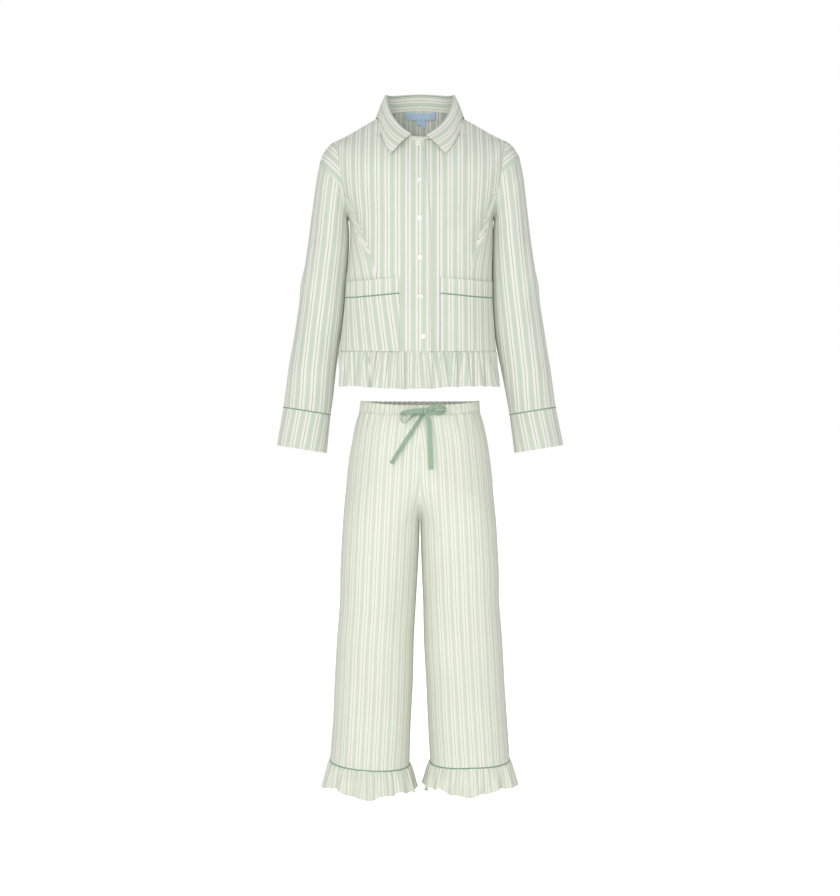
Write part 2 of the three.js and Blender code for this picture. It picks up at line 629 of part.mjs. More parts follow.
// Collar fall: over the top of the stand and down to the leaf's edge on the shirt
function collarFall() {
  const rollTurns = [180, 128, 76, 22];
  const leafRows = 3;
  const ends = { left: -14.96, right: -349 };
  const inside = neckTurns().map(({ turn }) => turn).filter((turn) => turn < ends.left - 0.5 && turn > ends.right + 3);
  const stations = [ends.left, ...inside, ends.right].map(collarAt);
  const edgeAt = ({ side, round }) => {
    const shift = side === LEFT ? 0 : -8 * smooth((60 - round) / 45);
    const x = side * (lookup(COLLAR, "turn", round, "x") + shift);
    if (round < 68) {
      const z = lookup(LEAF_ON_CHEST, "turn", round, "z") + 24 * smooth((round - 60) / 16);
      return offBody(FRONT, acrossAt(FRONT, x, z), z, WALL + 2);
    }
    const y = lookup(LEAF_BEHIND, "turn", round, "y") - 14 * smooth((76 - round) / 16);
    return [x, y, heightAt(x, y) + WALL + 2.5];
  };
  const edges = stations.map(edgeAt);
  const rollGrid = rollTurns.map((degrees) =>
    stations.map(({ outward, up, roll }) => {
      const angle = radians(degrees);
      const centre = plus(plus(roll, up, -ROLL), outward, ROLL + 0.6);
      return plus(plus(centre, outward, ROLL * Math.cos(angle)), up, ROLL * Math.sin(angle));
    }),
  );
  const leafGrid = range(leafRows).map((row) =>
    stations.map(({ outward, up, roll, round }, i) => {
      const t = (row + 1) / leafRows;
      const start = plus(plus(roll, outward, 2 * ROLL + 1.4), up, -ROLL - 1.5);
      const bow = Math.sin(Math.PI * Math.min(t, 0.999)) * mix(7, 9, smooth((round - 60) / 60)) * (1 - 0.25 * t);
      return plus(plus(start, minus(edges[i], start), t), outward, bow);
    }),
  );
  const trim = (n, r, c) => (r === 0 ? without(n, stations[c].up) : n);
  add("collar_fall", wall([...rollGrid, ...leafGrid], { from: [0, 0, -40], trim }), CLOTH);
}

// Labels inside the back of the neck
function neckLabels() {
  const inside = WALL + 1.9;
  const label = (name, x0, x1, high, low) => {
    const grid = range(3).map((row) =>
      range(5).map((column) => {
        const z = mix(high, low, row / 2);
        const across = acrossAt(BACK, mix(x0, x1, column / 4), z);
        return offBody(BACK, across, z, -inside);
      }),
    );
    add(name, wall(grid, { thick: 1, from: [0, 0, middleOf(grid)[2]] }), LABEL);
  };
  label("neck_label", -35, 38, 24, 11);
  label("size_tab", -9, 14, 10.4, -2);
}

// Sleeve: rings that fan out from the armhole and end square to the arm
function sleeveRing(side, s, out = 0) {
  const rows = SLEEVE.map((row, ring) => ({ ring, ...row }));
  const read = (column) => lookup(rows, "ring", s, column);
  const shift = side === LEFT ? 0 : mix(3, -2, smooth(s / 9));
  const outer = [read("ox") - shift, read("oz")];
  const inner = [side === LEFT ? read("ix") : -read("ir"), read("iz")];
  const middle = [(outer[0] + inner[0]) / 2, (outer[1] + inner[1]) / 2];
  const arm = [(outer[0] - inner[0]) / 2, (outer[1] - inner[1]) / 2];
  const half = Math.hypot(...arm);
  const mirror = side === LEFT ? 1 : -1;
  const settled = smooth((s - 0.4) / 1.6) * smooth((SLEEVE.length - 1.3 - s) / 1.5);
  return (turn) => {
    let push = out;
    for (const crease of SLEEVE_CREASES) {
      const along = (s - crease.ring) / crease.width;
      const degrees = ((turn * 180) / Math.PI + 540) % 360 - 180;
      const off = (Math.abs(degrees) - crease.turn) / crease.span;
      push += crease.lift * settled * Math.exp(-along * along - off * off);
    }
    const reach = (half + push) * Math.cos(turn);
    const x = middle[0] + (arm[0] / half) * reach;
    const z = middle[1] + (arm[1] / half) * reach;
    return [mirror * x, (read("deep") + push) * Math.sin(turn), z];
  };
}

function sleeveAndCuff(side) {
  const name = side === LEFT ? "right" : "left";
  const last = SLEEVE.length - 1;
  const turns = range(SLEEVE_POINTS).map((i) => (i * 2 * Math.PI) / SLEEVE_POINTS);
  const out = armholeOut(side);
  const end = sleeveRing(side, last);
  const down = unit(minus(plus(end(0), minus(end(Math.PI), end(0)), 0.5), plus(
    sleeveRing(side, last - 1)(0),
    minus(sleeveRing(side, last - 1)(Math.PI), sleeveRing(side, last - 1)(0)),
    0.5,
  )));
  const square = (n) => without(n, down);
  const sleeveGrid = range(last + 1).map((s) =>
    turns.map((turn) => {
      const point = sleeveRing(side, s)(turn);
      if (s === 0) return plus(point, out, SEAM);
      if (s === last) return plus(point, down, -(PIPING + SEAM));
      return point;
    }),
  );
  const trimSleeve = (n, r) => {
    if (r === 0) return without(n, out);
    return r === last ? square(n) : n;
  };
  add(`sleeve_${name}`, wall(sleeveGrid, { round: true, trim: trimSleeve }), CLOTH);

  const middle = plus(end(0), minus(end(Math.PI), end(0)), 0.5);
  const cord = turns.map((turn) => plus(middle, minus(end(turn), middle), 0.994));
  add(`cuff_piping_${name}`, piping(cord, true), TRIM);

  const cuffGrid = range(4).map((row) => {
    const t = row / 3;
    const grow = mix(1, CUFF.grow, t);
    return turns.map((turn) => {
      const spread = plus(middle, minus(end(turn), middle), grow);
      return plus(spread, down, mix(PIPING + SEAM, CUFF.long, t));
    });
  });
  add(`cuff_${name}`, wall(cuffGrid, { round: true, trim: (n, r) => (r === 0 ? square(n) : n) }), CLOTH);
}

// Patch pocket with a band along its top and piping between
function pocket(side) {
  const name = side === LEFT ? "right" : "left";
  const outerShare = (z) => {
    const half = sideOf(FRONT, side, z).half;
    const x = side * half * Math.cos(radians(POCKET.turn)) ** SQUARE;
    return acrossAt(FRONT, x, z);
  };
  const innerShare = (z) => acrossAt(FRONT, side * POCKET.inner, z);
  const sheet = (rows, columns, high, low, out) =>
    range(rows + 1).map((row) =>
      range(columns + 1).map((column) => {
        const share = column / columns;
        const flat = mix(high, low, row / rows);
        const from = outerShare(flat);
        const across = mix(from, innerShare(flat), share);
        const z = row === rows && low < -500 ? seamAt(FRONT, across) + SEAM : flat;
        return offBody(FRONT, across, z, out(row / rows, share));
      }),
    );
  const lying = () => CLEAR + WALL;
  const gape = (down, share) => CLEAR + WALL + 3 * (1 - down) * Math.sin(Math.PI * share);
  const low = POCKET.seam - PIPING - SEAM;
  const high = POCKET.seam + PIPING + SEAM;
  const from = [0, 0, -460];
  add(`pocket_${name}`, wall(sheet(5, 8, low, -545, lying), { from }), CLOTH);
  add(`pocket_band_${name}`, wall(sheet(2, 8, POCKET.top, high, gape), { from }), CLOTH);
  const cord = range(13).map((i) => {
    const across = mix(outerShare(POCKET.seam), innerShare(POCKET.seam), i / 12);
    return offBody(FRONT, across, POCKET.seam, CLEAR + PIPING);
  });
  add(`pocket_piping_${name}`, piping(cord, false), TRIM);
}

// Ruffle round the hem: waves that grow from the seam down
function ruffleGrid(face) {
  const columns = RUFFLE.waves * RUFFLE.perWave;
  return range(3).map((row) =>
    range(columns + 1).map((column) => {
      const across = column / columns;
      const down = row / 2;
      const seam = seamAt(face, across) - SEAM / 2;
      const [x, y] = body(face, across, seam);
      const turn = Math.PI * across;
      const outward = unit([-Math.cos(turn), face * Math.sin(turn) * 1.3, 0]);
      const uneven = 0.75 + 0.25 * Math.sin(across * 17 + face);
      const phase = Math.PI * 2 * (RUFFLE.waves * across + 0.12 * Math.sin(across * 19 + face)) + 0.6;
      const wave = RUFFLE.wave * uneven * (0.08 + 0.92 * down) * Math.sin(phase) * Math.sin(turn) ** 0.25;
      const atSide = mix(RUFFLE.left, RUFFLE.right, across) * Math.cos(turn) ** 2;
      const flare = RUFFLE.flare * Math.sin(turn) * down ** 0.8 + atSide * down;
      const drop = RUFFLE.drop - (face === BACK ? RUFFLE.backRise * Math.sin(turn) ** 0.5 : 0);
      return plus([x, y, seam - drop * down], outward, flare + wave);
    }),
  );
}

function ruffle() {
  const columns = RUFFLE.waves * RUFFLE.perWave;
  const from = [0, 0, -580];
  const trim = (sides) => (n, r, c) => {
    let cut = r === 0 ? without(n, [0, 0, 1]) : n;
    if (sides.includes(c)) cut = without(cut, [0, 1, 0]);
    return cut;
  };
  const shift = (grid, face, sides) =>
    grid.map((row) => row.map((p, c) => (sides.includes(c) ? plus(p, [0, face * (SEAM / 2), 0]) : p)));
  const front = ruffleGrid(FRONT);
  const normals = normalsOf(front, false, from);
  const lapColumn = 32;
  const underColumn = 29;
  const lapped = front.map((row) => row.slice(0, lapColumn + 1));
  const under = front.map((row, r) =>
    row.map((point, c) => plus(point, normals[r][c], -setIn(c / columns) * 1.15)).slice(underColumn),
  );
  const lastUnder = columns - underColumn;
  const backGrid = shift(ruffleGrid(BACK), BACK, [0, columns]);
  add("ruffle_back", wall(backGrid, { from, trim: trim([0, columns]) }), CLOTH);
  add("ruffle_front_right", wall(shift(lapped, FRONT, [0]), { from, trim: trim([0]) }), CLOTH);
  add("ruffle_front_left", wall(shift(under, FRONT, [lastUnder]), { from, trim: trim([lastUnder]) }), CLOTH);
}

// Buttons down the lapping edge
function buttons() {
  const places = [
    { x: -4.5, z: -78 }, { x: -1.4, z: -168 }, { x: -1.4, z: -252 },
    { x: 0, z: -339 }, { x: 1, z: -426 }, { x: 7, z: -514 },
  ];
  places.forEach(({ x, z }, i) => {
    const across = acrossAt(FRONT, x, z);
    const foot = offBody(FRONT, across, z, SEAM / 2);
    const head = offBody(FRONT, across, z, SEAM / 2 + BUTTON.thick);
    const normal = unit(minus(head, foot));
    const geometry = new THREE.CylinderGeometry(BUTTON.radius, BUTTON.radius, BUTTON.thick, 14);
    const turned = new THREE.Quaternion().setFromUnitVectors(new THREE.Vector3(0, 1, 0), new THREE.Vector3(...normal));
    geometry.applyQuaternion(turned);
    geometry.translate(...plus(foot, normal, BUTTON.thick / 2));
    add(`button_${i + 1}`, geometry, SHELL);
  });
}

// Trousers: one panel runs from the side seam to the middle seam, which turns into the inside leg
function forkAngle(z) {
  const t = smooth((FORK.start - z) / (FORK.start - FORK.end));
  return Math.PI / 2 + Math.asin(t);
}

const power = (v) => Math.sign(v) * Math.abs(v) ** SQUARE;

function trouser(side, face, share, z) {
  const read = (column) => lookup(TROUSER, "z", z, column);
  const [outer, inner] = side === LEFT ? [read("outL"), read("inL")] : [read("outR"), read("inR")];
  const depth = read(face === FRONT ? "front" : "back");
  const end = forkAngle(z);
  const gap = Math.max(inner, 0.3);
  const half = (outer - gap) / (1 - power(Math.cos(end)));
  const turn = end * share;
  const x = side * (outer - half + half * power(Math.cos(turn)));
  const y = face * depth * power(Math.max(0, Math.sin(turn)));
  const calm = smooth(share / 0.2) * smooth((1 - share) / 0.12) * smooth((-677 - z) / 30) * smooth((z + 1480) / 60);
  return [x, y + face * folds(TROUSER_FOLDS, face, x, z) * calm, z];
}

function waistLevel(turn, side, front, back) {
  const ahead = Math.sin(turn);
  return mix(side, ahead > 0 ? front : back, Math.abs(ahead) ** 1.5);
}

function trouserPanel(side, face) {
  const columns = 10;
  const rows = TROUSER_LEVELS.length - 1;
  const grid = TROUSER_LEVELS.map((level, r) =>
    range(columns + 1).map((column) => {
      const share = column / columns;
      const ahead = face === FRONT ? Math.sin((share * Math.PI) / 2) : -Math.sin((share * Math.PI) / 2);
      const low = waistLevel(Math.asin(ahead), WAIST.lowSide, WAIST.lowFront, WAIST.lowBack) - SEAM;
      const drop = (low - TROUSER_LEVELS[0]) * (1 - smooth(r / 3));
      const hem = r === rows ? PIPING + SEAM : 0;
      const point = trouser(side, face, share, level + drop);
      point[2] += hem;
      const seamed = column === 0 || (column === columns && level <= FORK.end);
      return seamed ? plus(point, [0, face * (SEAM / 2), 0]) : point;
    }),
  );
  const trim = (normal, r, c) => {
    let n = normal;
    const level = TROUSER_LEVELS[r];
    if (c === 0 || (c === columns && level <= FORK.end)) n = without(n, [0, 1, 0]);
    if (c === columns && level > FORK.end && n[0] * side > 0) n = without(n, [1, 0, 0]);
    if (r === 0 || r === rows) n = without(n, [0, 0, 1]);
    return n;
  };
  const middle = side * 90;
  const name = `trouser_${face === FRONT ? "front" : "back"}_${side === LEFT ? "right" : "left"}`;
  add(name, wall(grid, { from: [middle, 0, -1100], trim }), CLOTH);
}

// Waist casing: a ring of small gathers
function waistPoint(turn, down) {
  const cosine = Math.cos(turn);
  const half = mix(135, cosine < 0 ? 139 : 137, down);
  const depth = mix(94, Math.sin(turn) > 0 ? 97 : 98, down);
  const top = waistLevel(turn, WAIST.topSide, WAIST.topFront, WAIST.topBack);
  const low = waistLevel(turn, WAIST.lowSide, WAIST.lowFront, WAIST.lowBack);
  return [half * power(cosine), -depth * power(Math.sin(turn)), mix(top, low, down)];
}

function waistband() {
  const columns = GATHERS.count * 2;
  const grid = range(2).map((row) =>
    range(columns).map((column) => {
      const turn = (column * 2 * Math.PI) / columns;
      const point = waistPoint(turn, row);
      const outward = unit([point[0], point[1], 0]);
      return plus(point, outward, (column % 2 ? 1 : -1) * GATHERS.deep);
    }),
  );
  const trim = (n, r) => (r === 1 ? without(n, [0, 0, 1]) : n);
  add("waistband", wall(grid, { thick: 2.4, round: true, from: [0, 0, -665], trim }), CLOTH);
}

// Frill and piping at a trouser hem
function hemPoint(side, turn) {
  const read = (column) => lookup(TROUSER, "z", HEM.z, column);
  const [outer, inner] = side === LEFT ? [read("outL"), read("inL")] : [read("outR"), read("inR")];
  const half = (outer - inner) / 2;
  return [
    side * (inner + half) + side * half * power(Math.cos(turn)),
    -read(Math.sin(turn) > 0 ? "front" : "back") * power(Math.sin(turn)),
    HEM.z,
  ];
}

function hem(side) {
  const name = side === LEFT ? "right" : "left";
  const columns = HEM.waves * HEM.perWave;
  const middleX = (hemPoint(side, 0)[0] + hemPoint(side, Math.PI)[0]) / 2;
  const spread = side === LEFT ? 15 : 13;
  const grid = range(3).map((row) =>
    range(columns).map((column) => {
      const turn = (column * 2 * Math.PI) / columns;
      const down = row / 2;
      const base = hemPoint(side, turn);
      const outward = unit([(base[0] - middleX), base[1], 0]);
      const uneven = 0.78 + 0.22 * Math.sin(turn * 2.6 + side);
      const phase = HEM.waves * turn + 0.5 * Math.sin(turn * 3 + side);
      const wave = HEM.wave * uneven * (0.08 + 0.92 * down) * Math.sin(phase);
      const z = HEM.z - PIPING - SEAM - (HEM.drop - PIPING - SEAM) * down;
      return plus([base[0], base[1], z], outward, spread * down ** 0.8 + wave);
    }),
  );
  const trim = (n, r) => (r === 0 ? without(n, [0, 0, 1]) : n);
  add(`frill_${name}`, wall(grid, { round: true, trim }), CLOTH);
  const cord = range(22).map((i) => {
    const point = hemPoint(side, (i * 2 * Math.PI) / 22);
    return [middleX + (point[0] - middleX) * 0.996, point[1] * 0.996, HEM.z];
  });
  add(`hem_piping_${name}`, piping(cord, true), TRIM);
}

// The bow lies on the front of the waist: y of the cloth under it at a given x and height
function waistFace(x, z) {
  if (z > WAIST.lowFront) {
    const ratio = Math.min(Math.abs(x) / 137, 1) ** (1 / SQUARE);
    return -97 * Math.sqrt(1 - ratio * ratio) ** SQUARE;
  }
  const side = x < 0 ? LEFT : RIGHT;
  let [low, high] = [0, 1];
  for (let i = 0; i < 25; i += 1) {
    const middle = (low + high) / 2;
    if (trouser(side, FRONT, middle, z)[0] * side > Math.abs(x)) low = middle;
    else high = middle;
  }
  return trouser(side, FRONT, (low + high) / 2, z)[1];
}

function bow() {
  const band = -97 - GATHERS.deep;
  const knotSize = { wide: 9, deep: 5, high: 12 };
  const curve = (rows, steps) => {
    const line = new THREE.CatmullRomCurve3(rows.map((p) => new THREE.Vector3(...p)));
    return line.getPoints(steps).map((p) => [p.x, p.y, p.z]);
  };
  const knot = new THREE.BoxGeometry(knotSize.wide, knotSize.deep, knotSize.high);
  knot.translate(12, band + 0.3 - knotSize.deep / 2, -677.5);
  add("bow_knot", knot, TAPE_CLOTH);
  for (const [name, rows] of Object.entries(BOW_LOOPS)) {
    const points = rows.map(({ x, z }) => [x, Math.min(waistFace(x, z), -90) - TAPE.wide / 2 - 3, z]);
    add(name, tape(curve(points, 18), () => [0, 1, 0.35]), TAPE_CLOTH);
  }
  for (const [name, rows] of Object.entries(BOW_TAILS)) {
    const points = rows.map(({ x, z, out }) => [x, waistFace(x, z) - out, z]);
    add(name, tape(curve(points, 12), () => [1, 0, 0.3]), TAPE_CLOTH);
  }
}

shirtBody();
collarStand();
collarFall();
neckLabels();
ruffle();
buttons();
for (const side of [LEFT, RIGHT]) {
  sleeveAndCuff(side);
  pocket(side);
  trouserPanel(side, FRONT);
  trouserPanel(side, BACK);
  hem(side);
}
waistband();
bow();

export default part;
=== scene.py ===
# Pyjama set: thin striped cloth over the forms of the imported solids, with its trims.
# Sizes are worked out in millimetres and written to the meshes in metres. Front faces -Y.
import math

import bpy
import numpy as np
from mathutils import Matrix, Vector


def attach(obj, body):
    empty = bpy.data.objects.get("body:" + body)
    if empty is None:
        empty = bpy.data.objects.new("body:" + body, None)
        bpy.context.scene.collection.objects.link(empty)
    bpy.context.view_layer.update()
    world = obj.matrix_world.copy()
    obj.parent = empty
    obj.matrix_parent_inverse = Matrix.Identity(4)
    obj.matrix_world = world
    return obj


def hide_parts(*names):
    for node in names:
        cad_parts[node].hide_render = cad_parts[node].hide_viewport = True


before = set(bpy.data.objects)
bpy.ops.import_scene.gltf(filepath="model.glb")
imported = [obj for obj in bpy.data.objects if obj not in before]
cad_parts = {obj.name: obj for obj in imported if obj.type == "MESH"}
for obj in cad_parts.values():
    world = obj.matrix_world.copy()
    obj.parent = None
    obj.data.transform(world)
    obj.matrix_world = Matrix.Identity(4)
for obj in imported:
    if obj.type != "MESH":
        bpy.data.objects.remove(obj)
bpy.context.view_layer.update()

MM = 0.001
FRONT, BACK = -1, 1
LEFT, RIGHT = -1, 1
SQUARE = 0.87
LAP = 2.6
THIN = 0.9
HAIR = 0.1
SIDES = {LEFT: "right", RIGHT: "left"}
scene = bpy.context.scene
rng = np.random.default_rng(7)


# Camera, as the photograph was taken: level and square to the front
def make_camera():
    data = bpy.data.cameras.new("camera")
    data.sensor_width = 36.0
    data.lens = 52.4
    camera = bpy.data.objects.new("camera", data)
    camera.location = (0.0, -3.0, -0.7604)
    camera.rotation_euler = (math.radians(90.0), 0.0, 0.0)
    scene.collection.objects.link(camera)
    scene.camera = camera


make_camera()


# Tables with named columns
def table(names, *rows):
    return {name: np.array(column, float) for name, column in zip(names.split(), zip(*rows))}


BODY = table(
    "z left right front back",
    (-55, 192, 195, 104, 98), (-140, 178, 184, 114, 106), (-234, 163, 168, 120, 104),
    (-266, 160, 167, 120, 101), (-319, 163, 166, 117, 98), (-376, 169, 166, 115, 99),
    (-425, 172, 166, 116, 103), (-460, 175, 168, 118, 107), (-516, 182, 172, 120, 111),
    (-547, 186, 175, 121, 113), (-640, 197, 184, 124, 117),
)
SLEEVE = table(
    "ring ox oz ix ir iz deep",
    (0, -192, -55, -163, 168, -234, 57), (1, -204, -62, -165.2, 169.8, -238, 59),
    (2, -217, -77, -165, 169.6, -243, 61), (3, -228, -98, -164.5, 169.3, -249, 62),
    (4, -235, -132, -164, 169, -258, 62), (5, -242, -176, -163.8, 168.8, -273, 61),
    (6, -249, -228, -165.3, 168.5, -298, 60), (7, -256, -284, -168, 168.3, -334, 59),
    (8, -264, -338, -172, 168.5, -374, 58), (9, -271, -388, -175, 168.8, -416, 57),
    (10, -278, -434, -178.3, 170.8, -458, 56), (11, -286, -482, -183.5, 174.5, -502, 54),
    (12, -294, -530, -189, 180, -548, 51), (13, -302, -578, -195, 189.5, -596, 48),
    (14, -308, -624, -200, 198.5, -642, 44), (15, -314, -667, -206, 206, -684, 41),
)
COLLAR = table(
    "turn stand x",
    (15, 12, 67), (37, 19, 79), (60, 27, 89), (76, 36, 97), (90, 43, 102),
    (106, 43, 100), (124, 41, 86), (144, 40, 60), (162, 40, 31), (180, 40, 0),
)
LEAF_ON_CHEST = table("turn z", (15, -109), (37, -82), (60, -52))
LEAF_BEHIND = table(
    "turn y", (76, -28), (90, -4), (106, 18), (124, 43), (144, 60), (162, 70), (180, 74),
)
TROUSER = table(
    "z outL inL inR outR front back",
    (-677, 139, 0.3, 0.3, 137, 97, 98), (-696, 145, 0.3, 0.3, 143, 100, 103),
    (-719, 151, 0.3, 0.3, 149, 103, 107), (-742, 155, 0.3, 0.3, 154, 105, 110),
    (-788, 163, 0.3, 0.3, 161, 107, 115), (-834, 168, 0.3, 0.3, 166, 108, 117),
    (-880, 173, 0.3, 0.3, 170, 108, 117), (-930, 177, 0.6, 0.6, 175, 107, 114),
    (-980, 180, 2, 2, 178, 105, 110), (-1040, 183, 5, 4, 181, 102, 105),
    (-1110, 184, 9, 7, 182, 99, 101), (-1202, 191, 14, 9, 189, 97, 98),
    (-1294, 196, 16, 14, 194, 96, 97), (-1386, 200, 21, 18, 200, 95, 96),
    (-1480, 207, 24, 23, 206, 95, 95),
)

# Soft folds and creases on each face, as seen from the front: from x z, to x z, half width, how far out
SHIRT_FOLDS = {
    FRONT: (
        (-150, -215, -88, -330, 17, 5), (-128, -200, -60, -262, 13, -3.5), (150, -220, 86, -318, 17, 5),
        (126, -205, 62, -262, 13, -3.5), (-118, -60, -104, -180, 15, -3), (116, -62, 104, -176, 15, -3),
    ),
    BACK: (
        (-140, -190, -66, -330, 18, 5), (138, -196, 70, -318, 18, 5), (-38, -330, -50, -500, 17, 4),
        (46, -350, 58, -520, 17, 4),
    ),
}
SHIRT_CREASES = {
    FRONT: (
        (-157, -208, -114, -338, 5, -1.9), (-147, -200, -104, -296, 5, 1.5),
        (-137, -262, -121, -372, 7, 1.3), (-126, -116, -116, -204, 6, -1.1),
        (-62, -96, -68, -214, 9, 0.9), (-33, -236, -39, -372, 9, -0.9), (-84, -340, -92, -376, 7, 0.8),
        (-58, -190, -47, -330, 8, 0.8), (158, -216, 122, -312, 5, -1.8), (149, -210, 106, -284, 5, 1.5),
        (141, -258, 131, -356, 7, 1.2), (122, -112, 113, -192, 6, -1.0), (66, -92, 61, -228, 9, 0.9),
        (44, -246, 52, -366, 9, -0.9), (84, -178, 78, -306, 8, 0.8), (96, -330, 101, -374, 7, 0.8),
    ),
    BACK: (
        (-154, -205, -98, -322, 5, -1.8), (-144, -196, -84, -276, 6, 1.5),
        (153, -208, 104, -330, 5, -1.8), (140, -200, 82, -286, 6, 1.4), (-18, -60, -14, -210, 10, 0.9),
        (28, -90, 33, -250, 9, -0.9), (-92, -360, -101, -500, 8, 1.2), (98, -372, 104, -512, 8, -1.1),
        (4, -400, 10, -526, 9, 1.1), (-70, -110, -74, -230, 10, -0.9),
    ),
}
TROUSER_FOLDS = {
    FRONT: (
        (39, -712, 40, -838, 13, -4), (-45, -700, -43, -802, 12, -4), (-92, -705, -104, -900, 15, 4),
        (90, -705, 108, -880, 15, 4), (-70, -1080, -84, -1330, 16, 4), (72, -1100, 92, -1350, 16, 4),
    ),
    BACK: (
        (-60, -712, -72, -850, 15, 4), (58, -712, 66, -840, 15, 4), (-96, -1040, -104, -1330, 17, 5),
        (92, -1060, 104, -1320, 17, 5),
    ),
}
TROUSER_CREASES = {
    FRONT: (
        (34, -706, 36, -812, 5, -1.5), (46, -712, 47, -790, 5, 1.3), (-40, -704, -39, -776, 5, -1.4),
        (-52, -706, -53, -790, 5, 1.2), (-16, -700, -15, -752, 4, -1.1), (14, -712, 13, -768, 4, -0.9),
        (-10, -880, -62, -962, 8, 1.6), (10, -884, 58, -966, 8, 1.5), (-14, -905, -48, -1010, 7, -1.2),
        (14, -908, 46, -1004, 7, -1.2), (-126, -760, -138, -960, 10, 1.3),
        (124, -752, 139, -930, 10, 1.3), (-112, -1010, -126, -1250, 10, -1.4),
        (118, -1030, 134, -1270, 10, -1.4), (-44, -1180, -58, -1420, 9, 1.2),
        (42, -1160, 60, -1400, 9, 1.2), (-150, -1260, -164, -1450, 9, 1.3),
        (152, -1240, 168, -1440, 9, -1.2),
    ),
    BACK: (
        (-30, -706, -32, -800, 6, -1.6), (28, -706, 31, -810, 6, -1.5), (-88, -706, -96, -830, 7, 1.5),
        (92, -706, 97, -824, 7, 1.5), (-14, -880, -74, -950, 9, 1.8), (14, -884, 72, -956, 9, 1.8),
        (-60, -1100, -72, -1400, 10, -1.4), (58, -1120, 76, -1410, 10, -1.4),
        (-140, -1020, -150, -1260, 10, 1.3), (138, -1040, 154, -1290, 10, 1.3),
    ),
}
SLEEVE_CREASES = (
    (3.2, 35, 26, 0.55, -4), (4.4, 55, 30, 0.6, 4), (9.0, 20, 34, 0.6, 4),
    (10.2, 62, 30, 0.55, -3), (13.0, 70, 34, 0.6, 3),
)

# Stripes: width of one repeat, and where a green one's middle lies from each piece's own line
SHIRT_PITCH = 23.4
TROUSER_PITCH = 19.2
SHIRT_PHASE = -14.9


# Small sums
def mix(a, b, t):
    return a + (b - a) * t


def smooth(t):
    c = np.clip(t, 0.0, 1.0)
    return c * c * (3 - 2 * c)


def unit(a):
    length = np.linalg.norm(a, axis=-1, keepdims=True)
    return a / np.maximum(length, 1e-12)


def without(a, direction):
    return unit(a - direction * np.sum(a * direction, axis=-1, keepdims=True))


def power(v):
    return np.sign(v) * np.abs(v) ** SQUARE


def stack(x, y, z):
    return np.stack(np.broadcast_arrays(x, y, z), axis=-1).astype(float)


def lookup(rows, by, at, column):
    xs, ys = rows[by], rows[column]
    if xs[0] > xs[-1]:
        xs, ys = xs[::-1], ys[::-1]
    slopes = np.empty_like(ys)
    slopes[1:-1] = (ys[2:] - ys[:-2]) / (xs[2:] - xs[:-2])
    slopes[0] = (ys[1] - ys[0]) / (xs[1] - xs[0])
    slopes[-1] = (ys[-1] - ys[-2]) / (xs[-1] - xs[-2])
    at = np.clip(np.asarray(at, float), xs[0], xs[-1])
    i = np.clip(np.searchsorted(xs, at, side="right") - 1, 0, len(xs) - 2)
    span = xs[i + 1] - xs[i]
    t = (at - xs[i]) / span
    t2, t3 = t * t, t * t * t
    start = (2 * t3 - 3 * t2 + 1) * ys[i] + (t3 - 2 * t2 + t) * slopes[i] * span
    return start + (3 * t2 - 2 * t3) * ys[i + 1] + (t3 - t2) * slopes[i + 1] * span


# Where points lie by a line from x0 z0 to x1 z1: the share along it, and the distance to its side
def beside(x, z, x0, z0, x1, z1):
    dx, dz = x1 - x0, z1 - z0
    length = math.hypot(dx, dz)
    t = ((x - x0) * dx + (z - z0) * dz) / length**2
    return t, ((x - x0) * dz - (z - z0) * dx) / length


def soft_lines(lines, x, z):
    push = np.zeros(np.broadcast(x, z).shape)
    for *ends, wide, lift in lines:
        t, off = beside(x, z, *ends)
        tapered = smooth((t + 0.15) / 0.4) * smooth((1.15 - t) / 0.4)
        push = push + lift * tapered * np.exp(-((off / wide) ** 2))
    return push


# Low uneven waves that keep cloth from looking ironed
def ripple(a, b, seed):
    wave = np.sin(a / 31 + 1.7 * np.sin(b / 57 + seed) + seed)
    wave = wave + 0.7 * np.sin(a / 17 + b / 83 + 1.3 * np.sin(b / 41 - seed))
    return wave + 0.5 * np.sin(b / 23 + 1.1 * np.sin(a / 29 + 2 * seed))


# The shirt's body, by its share across from the right side seam to the left one, and its height
TIP_X = {LEFT: -192, RIGHT: 195}
TIP_Z = -55
UNDERARM_X = {LEFT: -163, RIGHT: 168}
UNDERARM_Z = -234
NECK_Y = -4
SHOULDER_SHARE = 0.3


def armhole_out(side):
    lean = abs(UNDERARM_X[side] - TIP_X[side])
    return unit(np.array([side * (TIP_Z - UNDERARM_Z), 0.0, -lean]))


def side_of(face, side, z):
    depth = lookup(BODY, "z", np.minimum(z, TIP_Z), "front" if face == FRONT else "back")
    t = np.clip((z - UNDERARM_Z) / (TIP_Z - UNDERARM_Z), 0, 1)
    height = 2 * t - 1
    hole_x = np.abs(mix(UNDERARM_X[side], TIP_X[side], t))
    deep = 57 * np.sqrt(np.maximum(0, 1 - height * height))
    start = np.arcsin(np.clip(deep / depth, 0, 1) ** (1 / SQUARE))
    low = lookup(BODY, "z", z, "left" if side == LEFT else "right")
    half = np.where(z <= UNDERARM_Z, low, hole_x / np.cos(start) ** SQUARE)
    return np.where(z <= UNDERARM_Z, 0, start), half, depth


def body_section(face, across, z):
    start_l, half_l, depth = side_of(face, LEFT, z)
    start_r, half_r, _ = side_of(face, RIGHT, z)
    turn = mix(start_l, np.pi - start_r, across)
    cosine = np.cos(turn)
    half = np.where(cosine > 0, half_l, half_r)
    return -half * power(cosine), face * depth * np.maximum(0, np.sin(turn)) ** SQUARE


